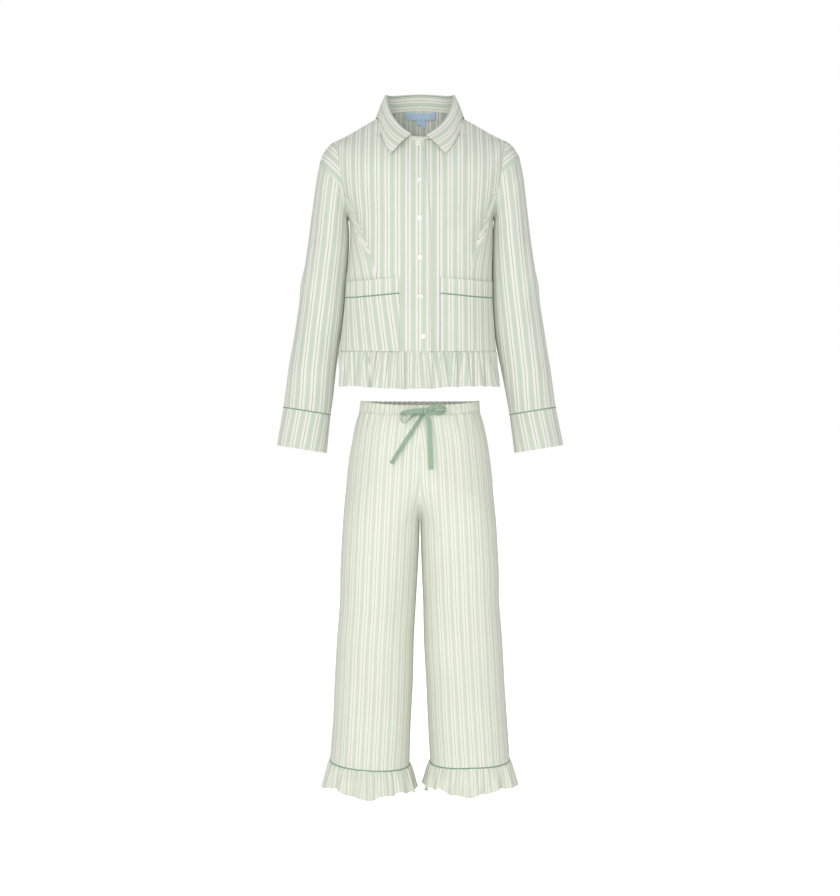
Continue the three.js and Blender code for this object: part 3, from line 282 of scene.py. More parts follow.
def neck_ring(turn):
    angle = np.radians(turn)
    ahead = np.cos(angle)
    depth = np.where(ahead > 0, 72, 68)
    level = np.where(ahead > 0, -70, 31)
    bend = np.where(ahead > 0, 1.3, 1.4)
    z = mix(8, level, np.abs(ahead) ** bend)
    return stack(74 * np.sin(angle), NECK_Y - depth * ahead, z)


def top_line(face, across):
    near = np.minimum(across, 1 - across)
    side = np.where(across < 0.5, -1, 1)
    t = np.clip(near / SHOULDER_SHARE, 0, 1)
    tip = np.where(side < 0, TIP_X[LEFT], TIP_X[RIGHT])
    sag = 4 * np.sin(np.pi * t)
    shoulder = stack(mix(tip, side * 74, t), mix(0, NECK_Y, t), mix(TIP_Z, 8, t) - sag)
    t = (near - SHOULDER_SHARE) / (0.5 - SHOULDER_SHARE)
    turn = 90 * (1 - t) if face == FRONT else 90 + 90 * t
    return np.where((near < SHOULDER_SHARE)[..., None], shoulder, neck_ring(side * turn))


def body(face, across, z, fine=False):
    across, z = np.broadcast_arrays(np.asarray(across, float), np.asarray(z, float))
    top = top_line(face, across)
    x0, y0 = body_section(face, across, z)
    xt, yt = body_section(face, across, top[..., 2])
    near = np.minimum(across, 1 - across)
    reach = 15 + 125 * smooth(near / 0.13)
    t = np.clip((top[..., 2] - z) / reach, 0, 1)
    round_shoulder = np.sqrt(1 - (1 - t) ** 2)
    soft_neck = np.sin(t * np.pi / 2)
    settled = mix(round_shoulder, soft_neck, smooth((near - 0.1) / 0.36))
    x = x0 + (top[..., 0] - xt) * (1 - settled)
    y = y0 + (top[..., 1] - yt) * (1 - settled)
    calm = smooth(near / 0.12) * settled
    push = soft_lines(SHIRT_FOLDS[face], x, z)
    if fine:
        push = push + soft_lines(SHIRT_CREASES[face], x, z) + 0.35 * ripple(x, z, 1.0 + face)
        seam = seam_at(face, across)
        pucker = np.sin(2 * np.pi * x / 8.3 + 1.5 * np.sin(x / 19))
        push = push + 0.55 * pucker * np.exp(-np.maximum(0, z - seam) / 9)
    return stack(x, y + face * push * calm, z)


def seam_at(face, across):
    return mix(-537, -547 if face == FRONT else -541, np.sin(np.pi * across))


def lap_edge(z):
    return mix(0.52, 0.533, smooth((-70 - z) / 240))


def under_edge(z):
    return mix(0.486, 0.49, smooth((-70 - z) / 240))


def set_in(across):
    return LAP * smooth((0.582 - across) / 0.036)


def set_in_deep(across):
    return set_in(across) + 2.4 * np.exp(-(((across - 0.536) / 0.0055) ** 2))


def steps(stops, counts):
    parts = [np.linspace(a, b, n, endpoint=False) for a, b, n in zip(stops, stops[1:], counts)]
    return np.concatenate([*parts, [stops[-1]]])


def across_at(face, x, z):
    x, z = np.broadcast_arrays(np.asarray(x, float), np.asarray(z, float))
    low, high = np.zeros(x.shape), np.ones(x.shape)
    for _ in range(26):
        middle = (low + high) / 2
        less = body(face, middle, z)[..., 0] < x
        low, high = np.where(less, middle, low), np.where(less, high, middle)
    return (low + high) / 2


def off_body(face, across, z, out, fine=False):
    across, z = np.broadcast_arrays(np.asarray(across, float), np.asarray(z, float))
    sideways = body(face, across + 0.004, z) - body(face, across - 0.004, z)
    down = body(face, across, z - 1) - body(face, across, z + 1)
    normal = unit(np.cross(sideways, down))
    normal = normal * np.where(normal[..., 1] * face < 0, -1, 1)[..., None]
    return body(face, across, z, fine) + normal * np.asarray(out)[..., None]


def height_at(x, y):
    low, high = np.full(x.shape, -230.0), np.full(x.shape, 30.0)
    for _ in range(26):
        middle = (low + high) / 2
        over = np.empty(x.shape, bool)
        for face in (FRONT, BACK):
            mask = (y < NECK_Y) if face == FRONT else (y >= NECK_Y)
            if not mask.any():
                continue
            across = across_at(face, x[mask], middle[mask])
            top = top_line(face, across)[..., 2]
            deep = np.where(middle[mask] < top, body(face, across, middle[mask])[..., 1], face * -1000)
            over[mask] = (deep - y[mask]) * face > 0
        low, high = np.where(over, middle, low), np.where(over, high, middle)
    return (low + high) / 2


# How far round the shirt's section a point lies from the middle line, for stripes that keep to the grain
ARC_ASPECTS = np.linspace(0.3, 1.0, 36)
ARC_TURNS = np.linspace(0, np.pi / 2, 361)


def arc_table():
    rows = []
    for aspect in ARC_ASPECTS:
        line = np.stack([np.cos(ARC_TURNS) ** SQUARE, aspect * np.sin(ARC_TURNS) ** SQUARE], -1)
        step = np.linalg.norm(np.diff(line, axis=0), axis=1)
        rows.append(np.concatenate([np.cumsum(step[::-1])[::-1], [0]]))
    return np.array(rows)


ARCS = arc_table()


def grain(face, x, z):
    _, half_l, depth = side_of(face, LEFT, z)
    _, half_r, _ = side_of(face, RIGHT, z)
    half = np.where(x < 0, half_l, half_r)
    turn = np.arccos(np.clip(np.abs(x) / half, 0, 1) ** (1 / SQUARE))
    a = (depth / half - ARC_ASPECTS[0]) / (ARC_ASPECTS[1] - ARC_ASPECTS[0])
    a = np.clip(a, 0, len(ARC_ASPECTS) - 1.001)
    t = turn / ARC_TURNS[1]
    ia, it = a.astype(int), np.minimum(t.astype(int), len(ARC_TURNS) - 2)
    fa, ft = a - ia, t - it
    low = mix(ARCS[ia, it], ARCS[ia, it + 1], ft)
    high = mix(ARCS[ia + 1, it], ARCS[ia + 1, it + 1], ft)
    return np.sign(x) * half * mix(low, high, fa)


# Cloth drawn toward each armhole: a fold from x0 z0 to x1 z1, outside which the stripes lean with it
DRAPES = {LEFT: (-168, -200, -113, -335), RIGHT: (166, -204, 127, -317)}
DRAPE_END = 75


def drape(side, x, z):
    x0, z0, x1, z1 = DRAPES[side]
    slope = (x1 - x0) / (z1 - z0)
    off = -side * beside(x, z, x0, z0, x1, z1)[1]
    low = z1 - DRAPE_END
    eased = np.clip((np.minimum(z, z1) - low) / DRAPE_END, 0, 1) ** 2
    lean = np.clip(z - z1, 0, None) + eased * DRAPE_END / 2
    ends = smooth((z0 + 34 - z) / 30) * smooth((z - low) / 20)
    outside = smooth((off + 6) / 12)
    return -slope * lean * outside * ends, off, ends


def draped(grid, u):
    for side in (LEFT, RIGHT):
        shift, _, _ = drape(side, grid[..., 0], grid[..., 2])
        u = u + shift * (grid[..., 0] * side > 60)
    return u


# Meshes
def along(grid, axis):
    step = np.linalg.norm(np.diff(grid, axis=axis), axis=-1)
    zero = np.zeros_like(np.take(step, [0], axis=axis))
    return np.concatenate([zero, np.cumsum(step, axis=axis)], axis=axis)


def full_turn(count):
    return np.arange(count) * 2 * np.pi / count


def closed(grid):
    return np.concatenate([grid, grid[:, :1]], axis=1)


def normals_of(grid, ring, middle):
    if ring:
        across = np.roll(grid, -1, axis=1) - np.roll(grid, 1, axis=1)
    else:
        across = np.gradient(grid, axis=1)
    normal = unit(np.cross(across, np.gradient(grid, axis=0)))
    return normal * (1 if np.sum(normal * (grid - middle)) > 0 else -1)


def new_mesh(name, points, faces, material, uv=None, sharp=50):
    mesh = bpy.data.meshes.new(name)
    mesh.from_pydata((np.asarray(points) * MM).tolist(), [], faces)
    mesh.materials.append(material)
    if uv is not None:
        layer = mesh.uv_layers.new(name="cloth")
        layer.data.foreach_set("uv", (np.asarray(uv) * MM).astype(np.float32).ravel())
    mesh.shade_smooth()
    mesh.set_sharp_from_angle(angle=math.radians(sharp))
    mesh.update()
    piece = bpy.data.objects.new(name, mesh)
    scene.collection.objects.link(piece)
    return piece


# A closed wall of cloth under a grid of points on its outer face; uv is in millimetres of cloth
def shell(name, grid, u, v, material, ring=False, middle=None, thick=THIN):
    rows, cols = grid.shape[:2]
    middle = grid.reshape(-1, 3).mean(axis=0) if middle is None else np.array(middle, float)
    inner = grid - normals_of(grid, ring, middle) * thick
    last = cols if ring else cols - 1
    index = np.arange(rows * cols).reshape(rows, cols)
    right = np.roll(index, -1, axis=1)[:, :last]
    left = index[:, :last]
    outer = np.stack([left[:-1], left[1:], right[1:], right[:-1]], -1).reshape(-1, 4)
    coords = np.stack(np.broadcast_arrays(u, v), -1).astype(float)
    here, there = coords[:, :last], coords[:, 1:last + 1]
    outer_uv = np.stack([here[:-1], here[1:], there[1:], there[:-1]], -2).reshape(-1, 4, 2)
    size = rows * cols
    faces = [outer, outer[:, ::-1] + size]
    uvs = [outer_uv, outer_uv[:, ::-1]]

    def rim(a, b, ua, ub):
        faces.append(np.stack([a, a + size, b + size, b], -1))
        uvs.append(np.stack([ua, ua, ub, ub], -2))

    rim(right[0], left[0], there[0], here[0])
    rim(left[-1], right[-1], here[-1], there[-1])
    if not ring:
        rim(index[:-1, 0], index[1:, 0], coords[:-1, 0], coords[1:, 0])
        rim(index[1:, -1], index[:-1, -1], coords[1:, -1], coords[:-1, -1])
    points = np.concatenate([grid.reshape(-1, 3), inner.reshape(-1, 3)])
    quads = np.concatenate(faces)
    uv = np.concatenate(uvs)
    a, b, c = points[quads[:, 0]], points[quads[:, 1]], points[quads[:, 2]]
    d = points[quads[:, 3]]
    volume = np.sum(a * np.cross(b, c)) + np.sum(a * np.cross(c, d))
    if volume < 0:
        quads, uv = quads[:, ::-1], uv[:, ::-1]
    return new_mesh(name, points, quads.tolist(), material, uv.reshape(-1, 2))


# A bar with a closed section swept along points
def sweep(name, points, sections, material, ring=False, sharp=60, uv_wide=10.5):
    count, sides = sections.shape[:2]
    rings = points[:, None, :] + sections
    last = count if ring else count - 1
    i = np.arange(last)
    j = (i + 1) % count
    faces, uvs = [], []
    run = np.concatenate([[0], np.cumsum(np.linalg.norm(np.diff(points, axis=0), axis=1))])
    run = np.append(run, run[-1] + np.linalg.norm(points[0] - points[-1]))
    for s in range(sides):
        n = (s + 1) % sides
        faces.append(np.stack([i * sides + s, i * sides + n, j * sides + n, j * sides + s], -1))
        ua = np.full(last, s / sides * uv_wide)
        ub = np.full(last, (s + 1) / sides * uv_wide)
        va, vb = run[:last], run[1:last + 1]
        corners = (ua, va), (ub, va), (ub, vb), (ua, vb)
        uvs.append(np.stack([np.stack(corner, -1) for corner in corners], -2))
    quads = np.concatenate(faces)
    uv = np.concatenate(uvs)
    pts = rings.reshape(-1, 3)
    a, b, c, d = (pts[quads[:, k]] for k in range(4))
    centre = pts.mean(axis=0)
    a, b, c, d = a - centre, b - centre, c - centre, d - centre
    flip = np.sum(a * np.cross(b, c)) + np.sum(a * np.cross(c, d)) < 0
    if flip:
        quads, uv = quads[:, ::-1], uv[:, ::-1]
    face_list, uv_list = quads.tolist(), uv.reshape(-1, 2).tolist()
    if not ring:
        first = list(range(sides))
        end = [(count - 1) * sides + s for s in range(sides)]
        caps = (first if flip else first[::-1], end[::-1] if flip else end)
        for cap in caps:
            face_list.append(cap)
            uv_list.extend([[0.0, 0.0]] * sides)
    return new_mesh(name, pts, face_list, material, uv_list, sharp)


def round_bar(name, points, radius, material, ring=False, sides=8):
    tangent = np.roll(points, -1, axis=0) - np.roll(points, 1, axis=0)
    if not ring:
        tangent[0], tangent[-1] = points[1] - points[0], points[-1] - points[-2]
    tangent = unit(tangent)
    side = unit(np.cross(tangent, np.array([0.0, 0.0, 1.0])))
    rise = np.cross(side, tangent)
    turn = full_turn(sides)[None, :, None]
    sections = radius * (side[:, None] * np.cos(turn) + rise[:, None] * np.sin(turn))
    return sweep(name, points, sections, material, ring)


def curve_through(rows, count):
    rows = np.array(rows, float)
    run = np.concatenate([[0], np.cumsum(np.linalg.norm(np.diff(rows, axis=0), axis=1))])
    named = {"run": run, **{str(k): rows[:, k] for k in range(rows.shape[1])}}
    at = np.linspace(0, run[-1], count)
    return np.stack([lookup(named, "run", at, str(k)) for k in range(rows.shape[1])], -1)


# Colours are given as they look on a screen
def linear(red, green, blue):
    def channel(value):
        share = value / 255
        return share / 12.92 if share <= 0.04045 else ((share + 0.055) / 1.055) ** 2.4
    return (channel(red), channel(green), channel(blue), 1.0)


def shaded(colour, by):
    return (colour[0] * by, colour[1] * by, colour[2] * by, 1.0)


class Nodes:
    """A short way to add nodes to a new material."""

    def __init__(self, name, roughness):
        self.material = bpy.data.materials.new(name)
        self.material.use_nodes = True
        self.tree = self.material.node_tree
        self.shader = self.tree.nodes["Principled BSDF"]
        self.shader.inputs["Roughness"].default_value = roughness

    def add(self, kind, inputs=None, **settings):
        node = self.tree.nodes.new(kind)
        for key, value in settings.items():
            setattr(node, key, value)
        for key, value in (inputs or {}).items():
            if isinstance(value, bpy.types.NodeSocket):
                self.tree.links.new(value, node.inputs[key])
            else:
                node.inputs[key].default_value = value
        return node

    def math(self, operation, a, b=None):
        inputs = {0: a} if b is None else {0: a, 1: b}
        return self.add("ShaderNodeMath", inputs, operation=operation).outputs[0]

    def cloth_uv(self):
        uv = self.add("ShaderNodeUVMap", uv_map="cloth")
        parts = self.add("ShaderNodeSeparateXYZ", {0: uv.outputs[0]})
        return parts.outputs[0], parts.outputs[1]

    def noise(self, vector, scale, detail=2.0):
        inputs = {"Vector": vector, "Scale": scale, "Detail": detail}
        return self.add("ShaderNodeTexNoise", inputs).outputs[0]

    def object_place(self):
        return self.add("ShaderNodeTexCoord").outputs["Object"]

    def ranged(self, value, low, high):
        inputs = {"Value": value, "From Min": 0.25, "From Max": 0.75, "To Min": low, "To Max": high}
        return self.add("ShaderNodeMapRange", inputs).outputs[0]

    def tinted(self, colour, value):
        scaled = self.add("ShaderNodeVectorMath", {0: colour, "Scale": value}, operation="SCALE")
        return scaled.outputs[0]

    def bump(self, height, strength, distance, under=None):
        inputs = {"Height": height, "Strength": strength, "Distance": distance}
        if under is not None:
            inputs["Normal"] = under
        return self.add("ShaderNodeBump", inputs).outputs[0]

    def set(self, socket, value):
        if isinstance(value, bpy.types.NodeSocket):
            self.tree.links.new(value, self.shader.inputs[socket])
        else:
            self.shader.inputs[socket].default_value = value

    def base(self, colour, tone):
        plain = self.add("ShaderNodeRGB")
        plain.outputs[0].default_value = colour
        self.set("Base Color", self.tinted(plain.outputs[0], tone))


# Woven cotton: threads over and under, with slubs along both ways
def weave(nodes, u, v, thread):
    over = nodes.math("SINE", nodes.math("MULTIPLY", u, 2 * math.pi / thread))
    under = nodes.math("SINE", nodes.math("MULTIPLY", v, 2 * math.pi / thread))
    return nodes.math("MULTIPLY", over, under)


def slub(nodes, u, v, by_u, by_v):
    place = {0: nodes.math("MULTIPLY", u, by_u), 1: nodes.math("MULTIPLY", v, by_v)}
    return nodes.noise(nodes.add("ShaderNodeCombineXYZ", place).outputs[0], 1.0)


def striped_cloth(name, pitch, bands, soft):
    nodes = Nodes(name, 0.88)
    u, v = nodes.cloth_uv()
    share = nodes.math("FRACT", nodes.math("DIVIDE", u, pitch * MM))
    ramp = nodes.add("ShaderNodeValToRGB", {0: share})
    stops = ramp.color_ramp.elements
    while len(stops) > 1:
        stops.remove(stops[-1])
    stops[0].position = 0.0
    stops[0].color = bands[0][1]
    for (end, colour), (_, after) in zip(bands, bands[1:]):
        for at, shade in ((end / pitch - soft, colour), (end / pitch + soft, after)):
            stop = stops.new(at)
            stop.color = shade
    place = nodes.object_place()
    slubs = nodes.math("ADD", slub(nodes, u, v, 900.0, 40.0), slub(nodes, u, v, 40.0, 900.0))
    slub_tone = nodes.ranged(nodes.math("MULTIPLY", slubs, 0.5), 0.965, 1.03)
    wash = nodes.ranged(nodes.noise(place, 9.0, 3.0), 0.975, 1.02)
    tone = nodes.math("MULTIPLY", slub_tone, wash)
    nodes.set("Base Color", nodes.tinted(ramp.outputs[0], tone))
    soft_bump = nodes.bump(nodes.noise(place, 34.0, 3.0), 0.35, 0.0016)
    thread_bump = nodes.bump(weave(nodes, u, v, 0.0009), 0.2, 0.00012, soft_bump)
    nodes.set("Normal", nodes.bump(slubs, 0.25, 0.0002, thread_bump))
    nodes.set("Sheen Weight", 0.12)
    nodes.set("Sheen Roughness", 0.6)
    nodes.set("Specular IOR Level", 0.25)
    return nodes.material


def plain_cloth(name, colour, thread, roughness, sheen, rib=0.25):
    nodes = Nodes(name, roughness)
    u, v = nodes.cloth_uv()
    place = nodes.object_place()
    tone = nodes.ranged(nodes.noise(place, 160.0, 3.0), 0.93, 1.06)
    nodes.base(colour, tone)
    nodes.set("Normal", nodes.bump(weave(nodes, u, v, thread), rib, 0.0002))
    nodes.set("Sheen Weight", sheen)
    nodes.set("Specular IOR Level", 0.3)
    return nodes.material


def button_shell():
    nodes = Nodes("button_white", 0.28)
    cloud = nodes.ranged(nodes.noise(nodes.object_place(), 240.0, 3.0), 0.94, 1.03)
    nodes.base(linear(240, 241, 234), cloud)
    nodes.set("Coat Weight", 0.35)
    nodes.set("Coat Roughness", 0.12)
    return nodes.material


LIT = 0.9
CREAM = shaded(linear(240, 239, 229), LIT)
GREEN_EDGE = shaded(linear(214, 223, 208), LIT)
GREEN = shaded(linear(205, 217, 200), LIT)
LINE = shaded(linear(203, 204, 196), LIT)
LEG_CREAM = shaded(linear(242, 242, 230), LIT)
LEG_EDGE = shaded(linear(224, 232, 214), LIT)
LEG_GREEN = shaded(linear(217, 227, 208), LIT)
LEG_LINE = shaded(linear(216, 218, 204), LIT)
SHIRT_BANDS = (
    (1.3, LINE), (5.5, CREAM), (8.4, GREEN_EDGE), (15.0, GREEN), (17.9, GREEN_EDGE),
    (22.1, CREAM), (23.4, LINE),
)
LEG_BANDS = (
    (1.2, LEG_LINE), (4.9, LEG_CREAM), (7.0, LEG_EDGE), (12.2, LEG_GREEN), (14.3, LEG_EDGE),
    (18.0, LEG_CREAM), (19.2, LEG_LINE),
)
shirt_cloth = striped_cloth("shirt_cotton", SHIRT_PITCH, SHIRT_BANDS, 0.012)
leg_cloth = striped_cloth("trouser_cotton", TROUSER_PITCH, LEG_BANDS, 0.012)
piping_cloth = plain_cloth("green_piping", shaded(linear(128, 166, 142), LIT), 0.0006, 0.8, 0.15)
tape_cloth = plain_cloth("sage_tape", shaded(linear(164, 190, 164), LIT), 0.0008, 0.72, 0.2, 0.5)
label_cloth = plain_cloth("blue_label", shaded(linear(192, 218, 242), LIT), 0.0005, 0.55, 0.1)
thread_cloth = plain_cloth("thread", shaded(linear(232, 234, 222), LIT), 0.0004, 0.7, 0.1)
button_look = button_shell()
# Painted shade: the dark grey of the button holes stands in for the shade inside them
hole_shade_look = plain_cloth("button_hole_shade", linear(150, 152, 140), 0.0004, 0.8, 0.0)


# Each piece moves with the whole, and the solids it stands for are hidden
def dress(piece, slot, *nodes):
    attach(piece, "root")
    if nodes:
        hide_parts(*nodes)
    return piece


# Dashes of thread along one row or column of a grid of points on the cloth
def stitches(name, grid, pick, ring=False, middle=(0, 0, -300), step=3.3, length=2.1):
    normal = normals_of(grid, ring, np.array(middle, float))[pick]
    line = grid[pick]
    run = along(line[None], 1)[0]
    starts = np.arange(1.5, run[-1] - length, step)

    def at(values, places):
        return np.stack([np.interp(places, run, values[:, k]) for k in range(3)], -1)

    a, b = at(line, starts), at(line, starts + length)
    out = unit(at(normal, starts))
    side = unit(np.cross(b - a, out)) * 0.3
    base, lift = out * 0.02, out * 0.3
    corners = [a - side + base, a + side + base, b + side + base, b - side + base]
    corners = corners + [corner + lift for corner in corners]
    points = np.stack(corners, 1).reshape(-1, 3)
    box = np.array([(0, 3, 2, 1), (4, 5, 6, 7), (0, 1, 5, 4), (1, 2, 6, 5), (2, 3, 7, 6), (3, 0, 4, 7)])
    faces = (np.arange(len(starts))[:, None, None] * 8 + box[None]).reshape(-1, 4)
    dress(new_mesh(name, points, faces.tolist(), thread_cloth, sharp=30), "striped_cloth")


# A phase of the stripes that puts the middle of a green one at u = at
def shirt_u(u, at=0.0):
    return u - at + SHIRT_PITCH / 2


def leg_u(u, at=0.0):
    return u - at + TROUSER_PITCH / 2


# Shirt body
def body_panel(name, face, tops, rows, start, end, inset):
    low = round(rows * 0.44)
    seam = seam_at(face, tops)
    top = top_line(face, tops)[..., 2]
    row = np.arange(rows + 1)[:, None]
    t = np.clip((row - low) / (rows - low), 0, 1)
    upper = mix(UNDERARM_Z, top, (1 - np.cos(np.pi * t)) / 2)
    z = np.where(row <= low, mix(seam, UNDERARM_Z, row / low), upper)
    share = (tops - start(0)) / (end(0) - start(0))
    across = mix(start(z), end(z), share)
    grid = body(face, across, z, True)
    normal = normals_of(grid, False, np.array([0, 0, -300.0]))
    grid = grid - normal * inset(across)[..., None]
    u = grain(face, grid[..., 0], z)
    if face == FRONT:
        u = draped(grid, u)
        for side in (LEFT, RIGHT):
            _, off, ends = drape(side, grid[..., 0], z)
            mine = smooth((grid[..., 0] * side - 60) / 20) * ends * smooth((z - DRAPES[side][3] + 30) / 40)
            step = 1.5 * np.exp(-(((off - 3.5) / 4.5) ** 2)) - 1.5 * np.exp(-(((off + 3.5) / 4) ** 2))
            grid = grid + normal * (step * mine)[..., None]
    u = shirt_u(u, SHIRT_PHASE)
    return shell(name, grid, u, along(grid, 0), shirt_cloth, middle=(0, 0, -300)), grid


def zero(values):
    return values * 0.0


def one(values):
    return zero(values) + 1.0


def shirt_body():
    back_tops = steps([0, SHOULDER_SHARE, 1 - SHOULDER_SHARE, 1], [42, 60, 42])
    right_tops = steps([0, SHOULDER_SHARE, 0.52], [44, 34])
    left_tops = steps([0.486, 1 - SHOULDER_SHARE, 1], [32, 44])
    back, back_grid = body_panel("back_cloth", BACK, back_tops, 130, zero, one, zero)
    right, right_grid = body_panel("right_front_cloth", FRONT, right_tops, 130, zero, lap_edge, zero)
    left, left_grid = body_panel("left_front_cloth", FRONT, left_tops, 130, under_edge, one, set_in_deep)
    dress(back, "striped_cloth", "shirt_back")
    dress(right, "striped_cloth", "shirt_front_right")
    dress(left, "striped_cloth", "shirt_front_left")
    stitches("lap_stitches", right_grid, np.s_[:, -3])
    stitches("hem_stitches_back", back_grid, np.s_[1])
    stitches("hem_stitches_right", right_grid, np.s_[1])
    stitches("hem_stitches_left", left_grid, np.s_[1])


# Collar
def around_neck(turn):
    return np.mod(turn + 900, 360) - 180


def under_at(turn):
    return LAP * smooth((-turn - 325) / 24)


def neck_flat(ring):
    return unit(stack(ring[..., 0], ring[..., 1] - NECK_Y, 0))


def roll_point(turn):
    wrapped = around_neck(turn)
    ring = neck_ring(wrapped)
    height = lookup(COLLAR, "turn", np.maximum(np.abs(wrapped), 15), "stand")
    return ring + stack(0, 0, height) - neck_flat(ring) * under_at(turn)[..., None]


def collar_at(turn):
    wrapped = around_neck(turn)
    tangent = unit(roll_point(turn + 2) - roll_point(turn - 2))
    up = without(np.broadcast_to(np.array([0.0, 0.0, 1.0]), tangent.shape), tangent)
    flat = neck_flat(neck_ring(wrapped))
    outward = without(without(flat, tangent), up)
    side = np.where(wrapped < 0, LEFT, RIGHT)
    return side, np.maximum(np.abs(wrapped), 15), roll_point(turn), up, outward, flat


ROLL = 3.3


def leaf_edge(side, turn):
    shift = np.where(side == LEFT, 0, -8 * smooth((60 - turn) / 45))
    x = side * (lookup(COLLAR, "turn", turn, "x") + shift)
    z = lookup(LEAF_ON_CHEST, "turn", turn, "z") + 24 * smooth((turn - 60) / 16)
    chest = off_body(FRONT, across_at(FRONT, x, z), z, np.full(x.shape, 3.6))
    y = lookup(LEAF_BEHIND, "turn", turn, "y") - 14 * smooth((76 - turn) / 16)
    over = stack(x, y, height_at(x, y) + 3.6)
    t = smooth((turn - 60) / 16)
    edge = mix(chest, over, t[..., None])
    clear = np.maximum(edge[..., 2], height_at(edge[..., 0], edge[..., 1]) + 3.6)
    edge[..., 2] = np.where(t > 0.02, mix(edge[..., 2], clear, smooth(t / 0.2)), edge[..., 2])
    return edge


def collar():
    turns = np.linspace(9.0, -366.3, 170)
    _, _, roll, up, outward, flat = collar_at(turns)
    foot = neck_ring(around_neck(turns)) + stack(0, 0, HAIR) - flat * under_at(turns)[..., None]
    top = roll - up * (ROLL + 1) + outward * 1.4
    end = 0.55 + 0.45 * np.minimum(smooth((9.2 - turns) / 7), smooth((turns + 366.6) / 7) * 0.6 + 0.4)
    rows = np.linspace(0, 1, 9)[:, None, None]
    grid = foot + (top - foot) * rows * end[None, :, None]
    height = along(grid, 0)
    u = shirt_u((height[-1:] - height) * 1.2, 1.5)
    stand = shell("collar_stand_cloth", grid, u, along(grid, 1), shirt_cloth, middle=(0, 0, 20))
    dress(stand, "striped_cloth", "collar_stand")

    turns = np.linspace(-14.96, -349.0, 176)
    side, turn, roll, up, outward, _ = collar_at(turns)
    edges = leaf_edge(side, turn)
    centre = roll - up * ROLL + outward * (ROLL + 0.6)
    arc = np.radians(np.linspace(180, 22, 9))[:, None, None]
    bend = centre + ROLL * (outward * np.cos(arc) + up * np.sin(arc))
    t = np.linspace(0, 1, 19)[1:, None, None]
    begin = roll + outward * (2 * ROLL + 1.4) - up * (ROLL + 1.5)
    full = mix(6, 1.5, smooth((turn - 48) / 28)) + 7.5 * smooth((turn - 112) / 40)
    bow = np.sin(np.pi * np.minimum(t, 0.999)) * full[None, :, None] * (1 - 0.25 * t)
    leaf = begin + (edges - begin) * t + outward * bow
    grid = np.concatenate([bend, leaf])
    u = shirt_u(along(grid, 0), 4.0)
    fall = shell("collar_fall_cloth", grid, u, along(grid, 1), shirt_cloth, middle=(0, 0, -40), thick=1.2)
    dress(fall, "striped_cloth", "collar_fall")
    stitches("collar_stitches", grid, np.s_[-2], middle=(0, 0, -40))


def neck_labels():
    for name, node, x0, x1, high, low in (
        ("neck_label_cloth", "neck_label", -34, 38, 26.3, 11.6),
        ("size_tab_cloth", "size_tab", -9, 13.4, 11.4, 1.2),
        ("size_tab_end", None, 4, 13.4, 1.3, -5),
    ):
        x = np.linspace(x0, x1, 29)[None, :]
        z = np.linspace(high, low, 9)[:, None]
        across = across_at(BACK, x, z + 0 * x)
        grid = off_body(BACK, across, z + 0 * x, np.full(across.shape, -3.9))
        middle = (0, 0, (high + low) / 2)
        label = shell(name, grid, along(grid, 1), along(grid, 0), label_cloth, middle=middle, thick=0.7)
        dress(label, "label", *([node] if node else []))


# Sleeves: rings that fan out from the armhole; turn 0 is the outer line, a quarter turn the front or back
def sleeve_lines(side, s):
    shift = 0 if side == LEFT else mix(3, -2, smooth(s / 9))
    near = lookup(SLEEVE, "ring", s, "ix") if side == LEFT else -lookup(SLEEVE, "ring", s, "ir")
    outer = np.stack([lookup(SLEEVE, "ring", s, "ox") - shift, lookup(SLEEVE, "ring", s, "oz")], -1)
    return outer, np.stack([near, lookup(SLEEVE, "ring", s, "iz")], -1)


# Stripes run along the arm: how far round the sleeve each point lies from its outer line
ARM_ALONG = np.array([-0.119, -0.993])
ARM_ACROSS = np.array([0.993, -0.119])


def arm_stripes(side, grid):
    flat = np.stack([-side * grid[..., 0], grid[..., 2]], -1)
    rings = np.arange(16.0)
    outer, inner = sleeve_lines(side, rings)
    at = flat @ ARM_ALONG
    first = np.interp(at, (outer @ ARM_ALONG)[3:], (outer @ ARM_ACROSS)[3:])
    far = np.interp(at, inner @ ARM_ALONG, inner @ ARM_ACROSS)
    deep = np.interp(at, (outer @ ARM_ALONG)[3:], lookup(SLEEVE, "ring", rings[3:], "deep"))
    half = (far - first) / 2
    turn = np.arccos(np.clip(1 - (flat @ ARM_ACROSS - first) / half, -1, 1))
    run = np.zeros(turn.shape)
    pieces = 24
    for k in range(pieces):
        bit = turn * (k + 0.5) / pieces
        run = run + np.hypot(half * np.sin(bit), deep * np.cos(bit)) * turn / pieces
    return run


def sleeve_ring(side, s, turn, fine=0.0):
    s, turn = np.broadcast_arrays(np.asarray(s, float), np.asarray(turn, float))
    outer, inner = sleeve_lines(side, s)
    middle = (outer + inner) / 2
    arm = (outer - inner) / 2
    half = np.linalg.norm(arm, axis=-1)
    settled = smooth((s - 0.4) / 1.6) * smooth((14.7 - s) / 1.5)
    degrees = np.mod(np.degrees(turn) + 540, 360) - 180
    push = np.zeros(s.shape)
    for ring, at, span, width, lift in SLEEVE_CREASES:
        reach = -(((s - ring) / width) ** 2) - ((np.abs(degrees) - at) / span) ** 2
        push = push + lift * settled * np.exp(reach)
    if fine:
        push = push + fine * sleeve_detail(side, s, degrees)
        under = smooth((np.abs(degrees) - 128) / 40)
        push = push + 2.2 * under * smooth((s - 2) / 2) * smooth((12.5 - s) / 2)
    reach = (half + push) * np.cos(turn)
    x = middle[..., 0] + arm[..., 0] / half * reach
    z = middle[..., 1] + arm[..., 1] / half * reach
    y = (lookup(SLEEVE, "ring", s, "deep") + push) * np.sin(turn)
    return stack(-side * x, y, z)


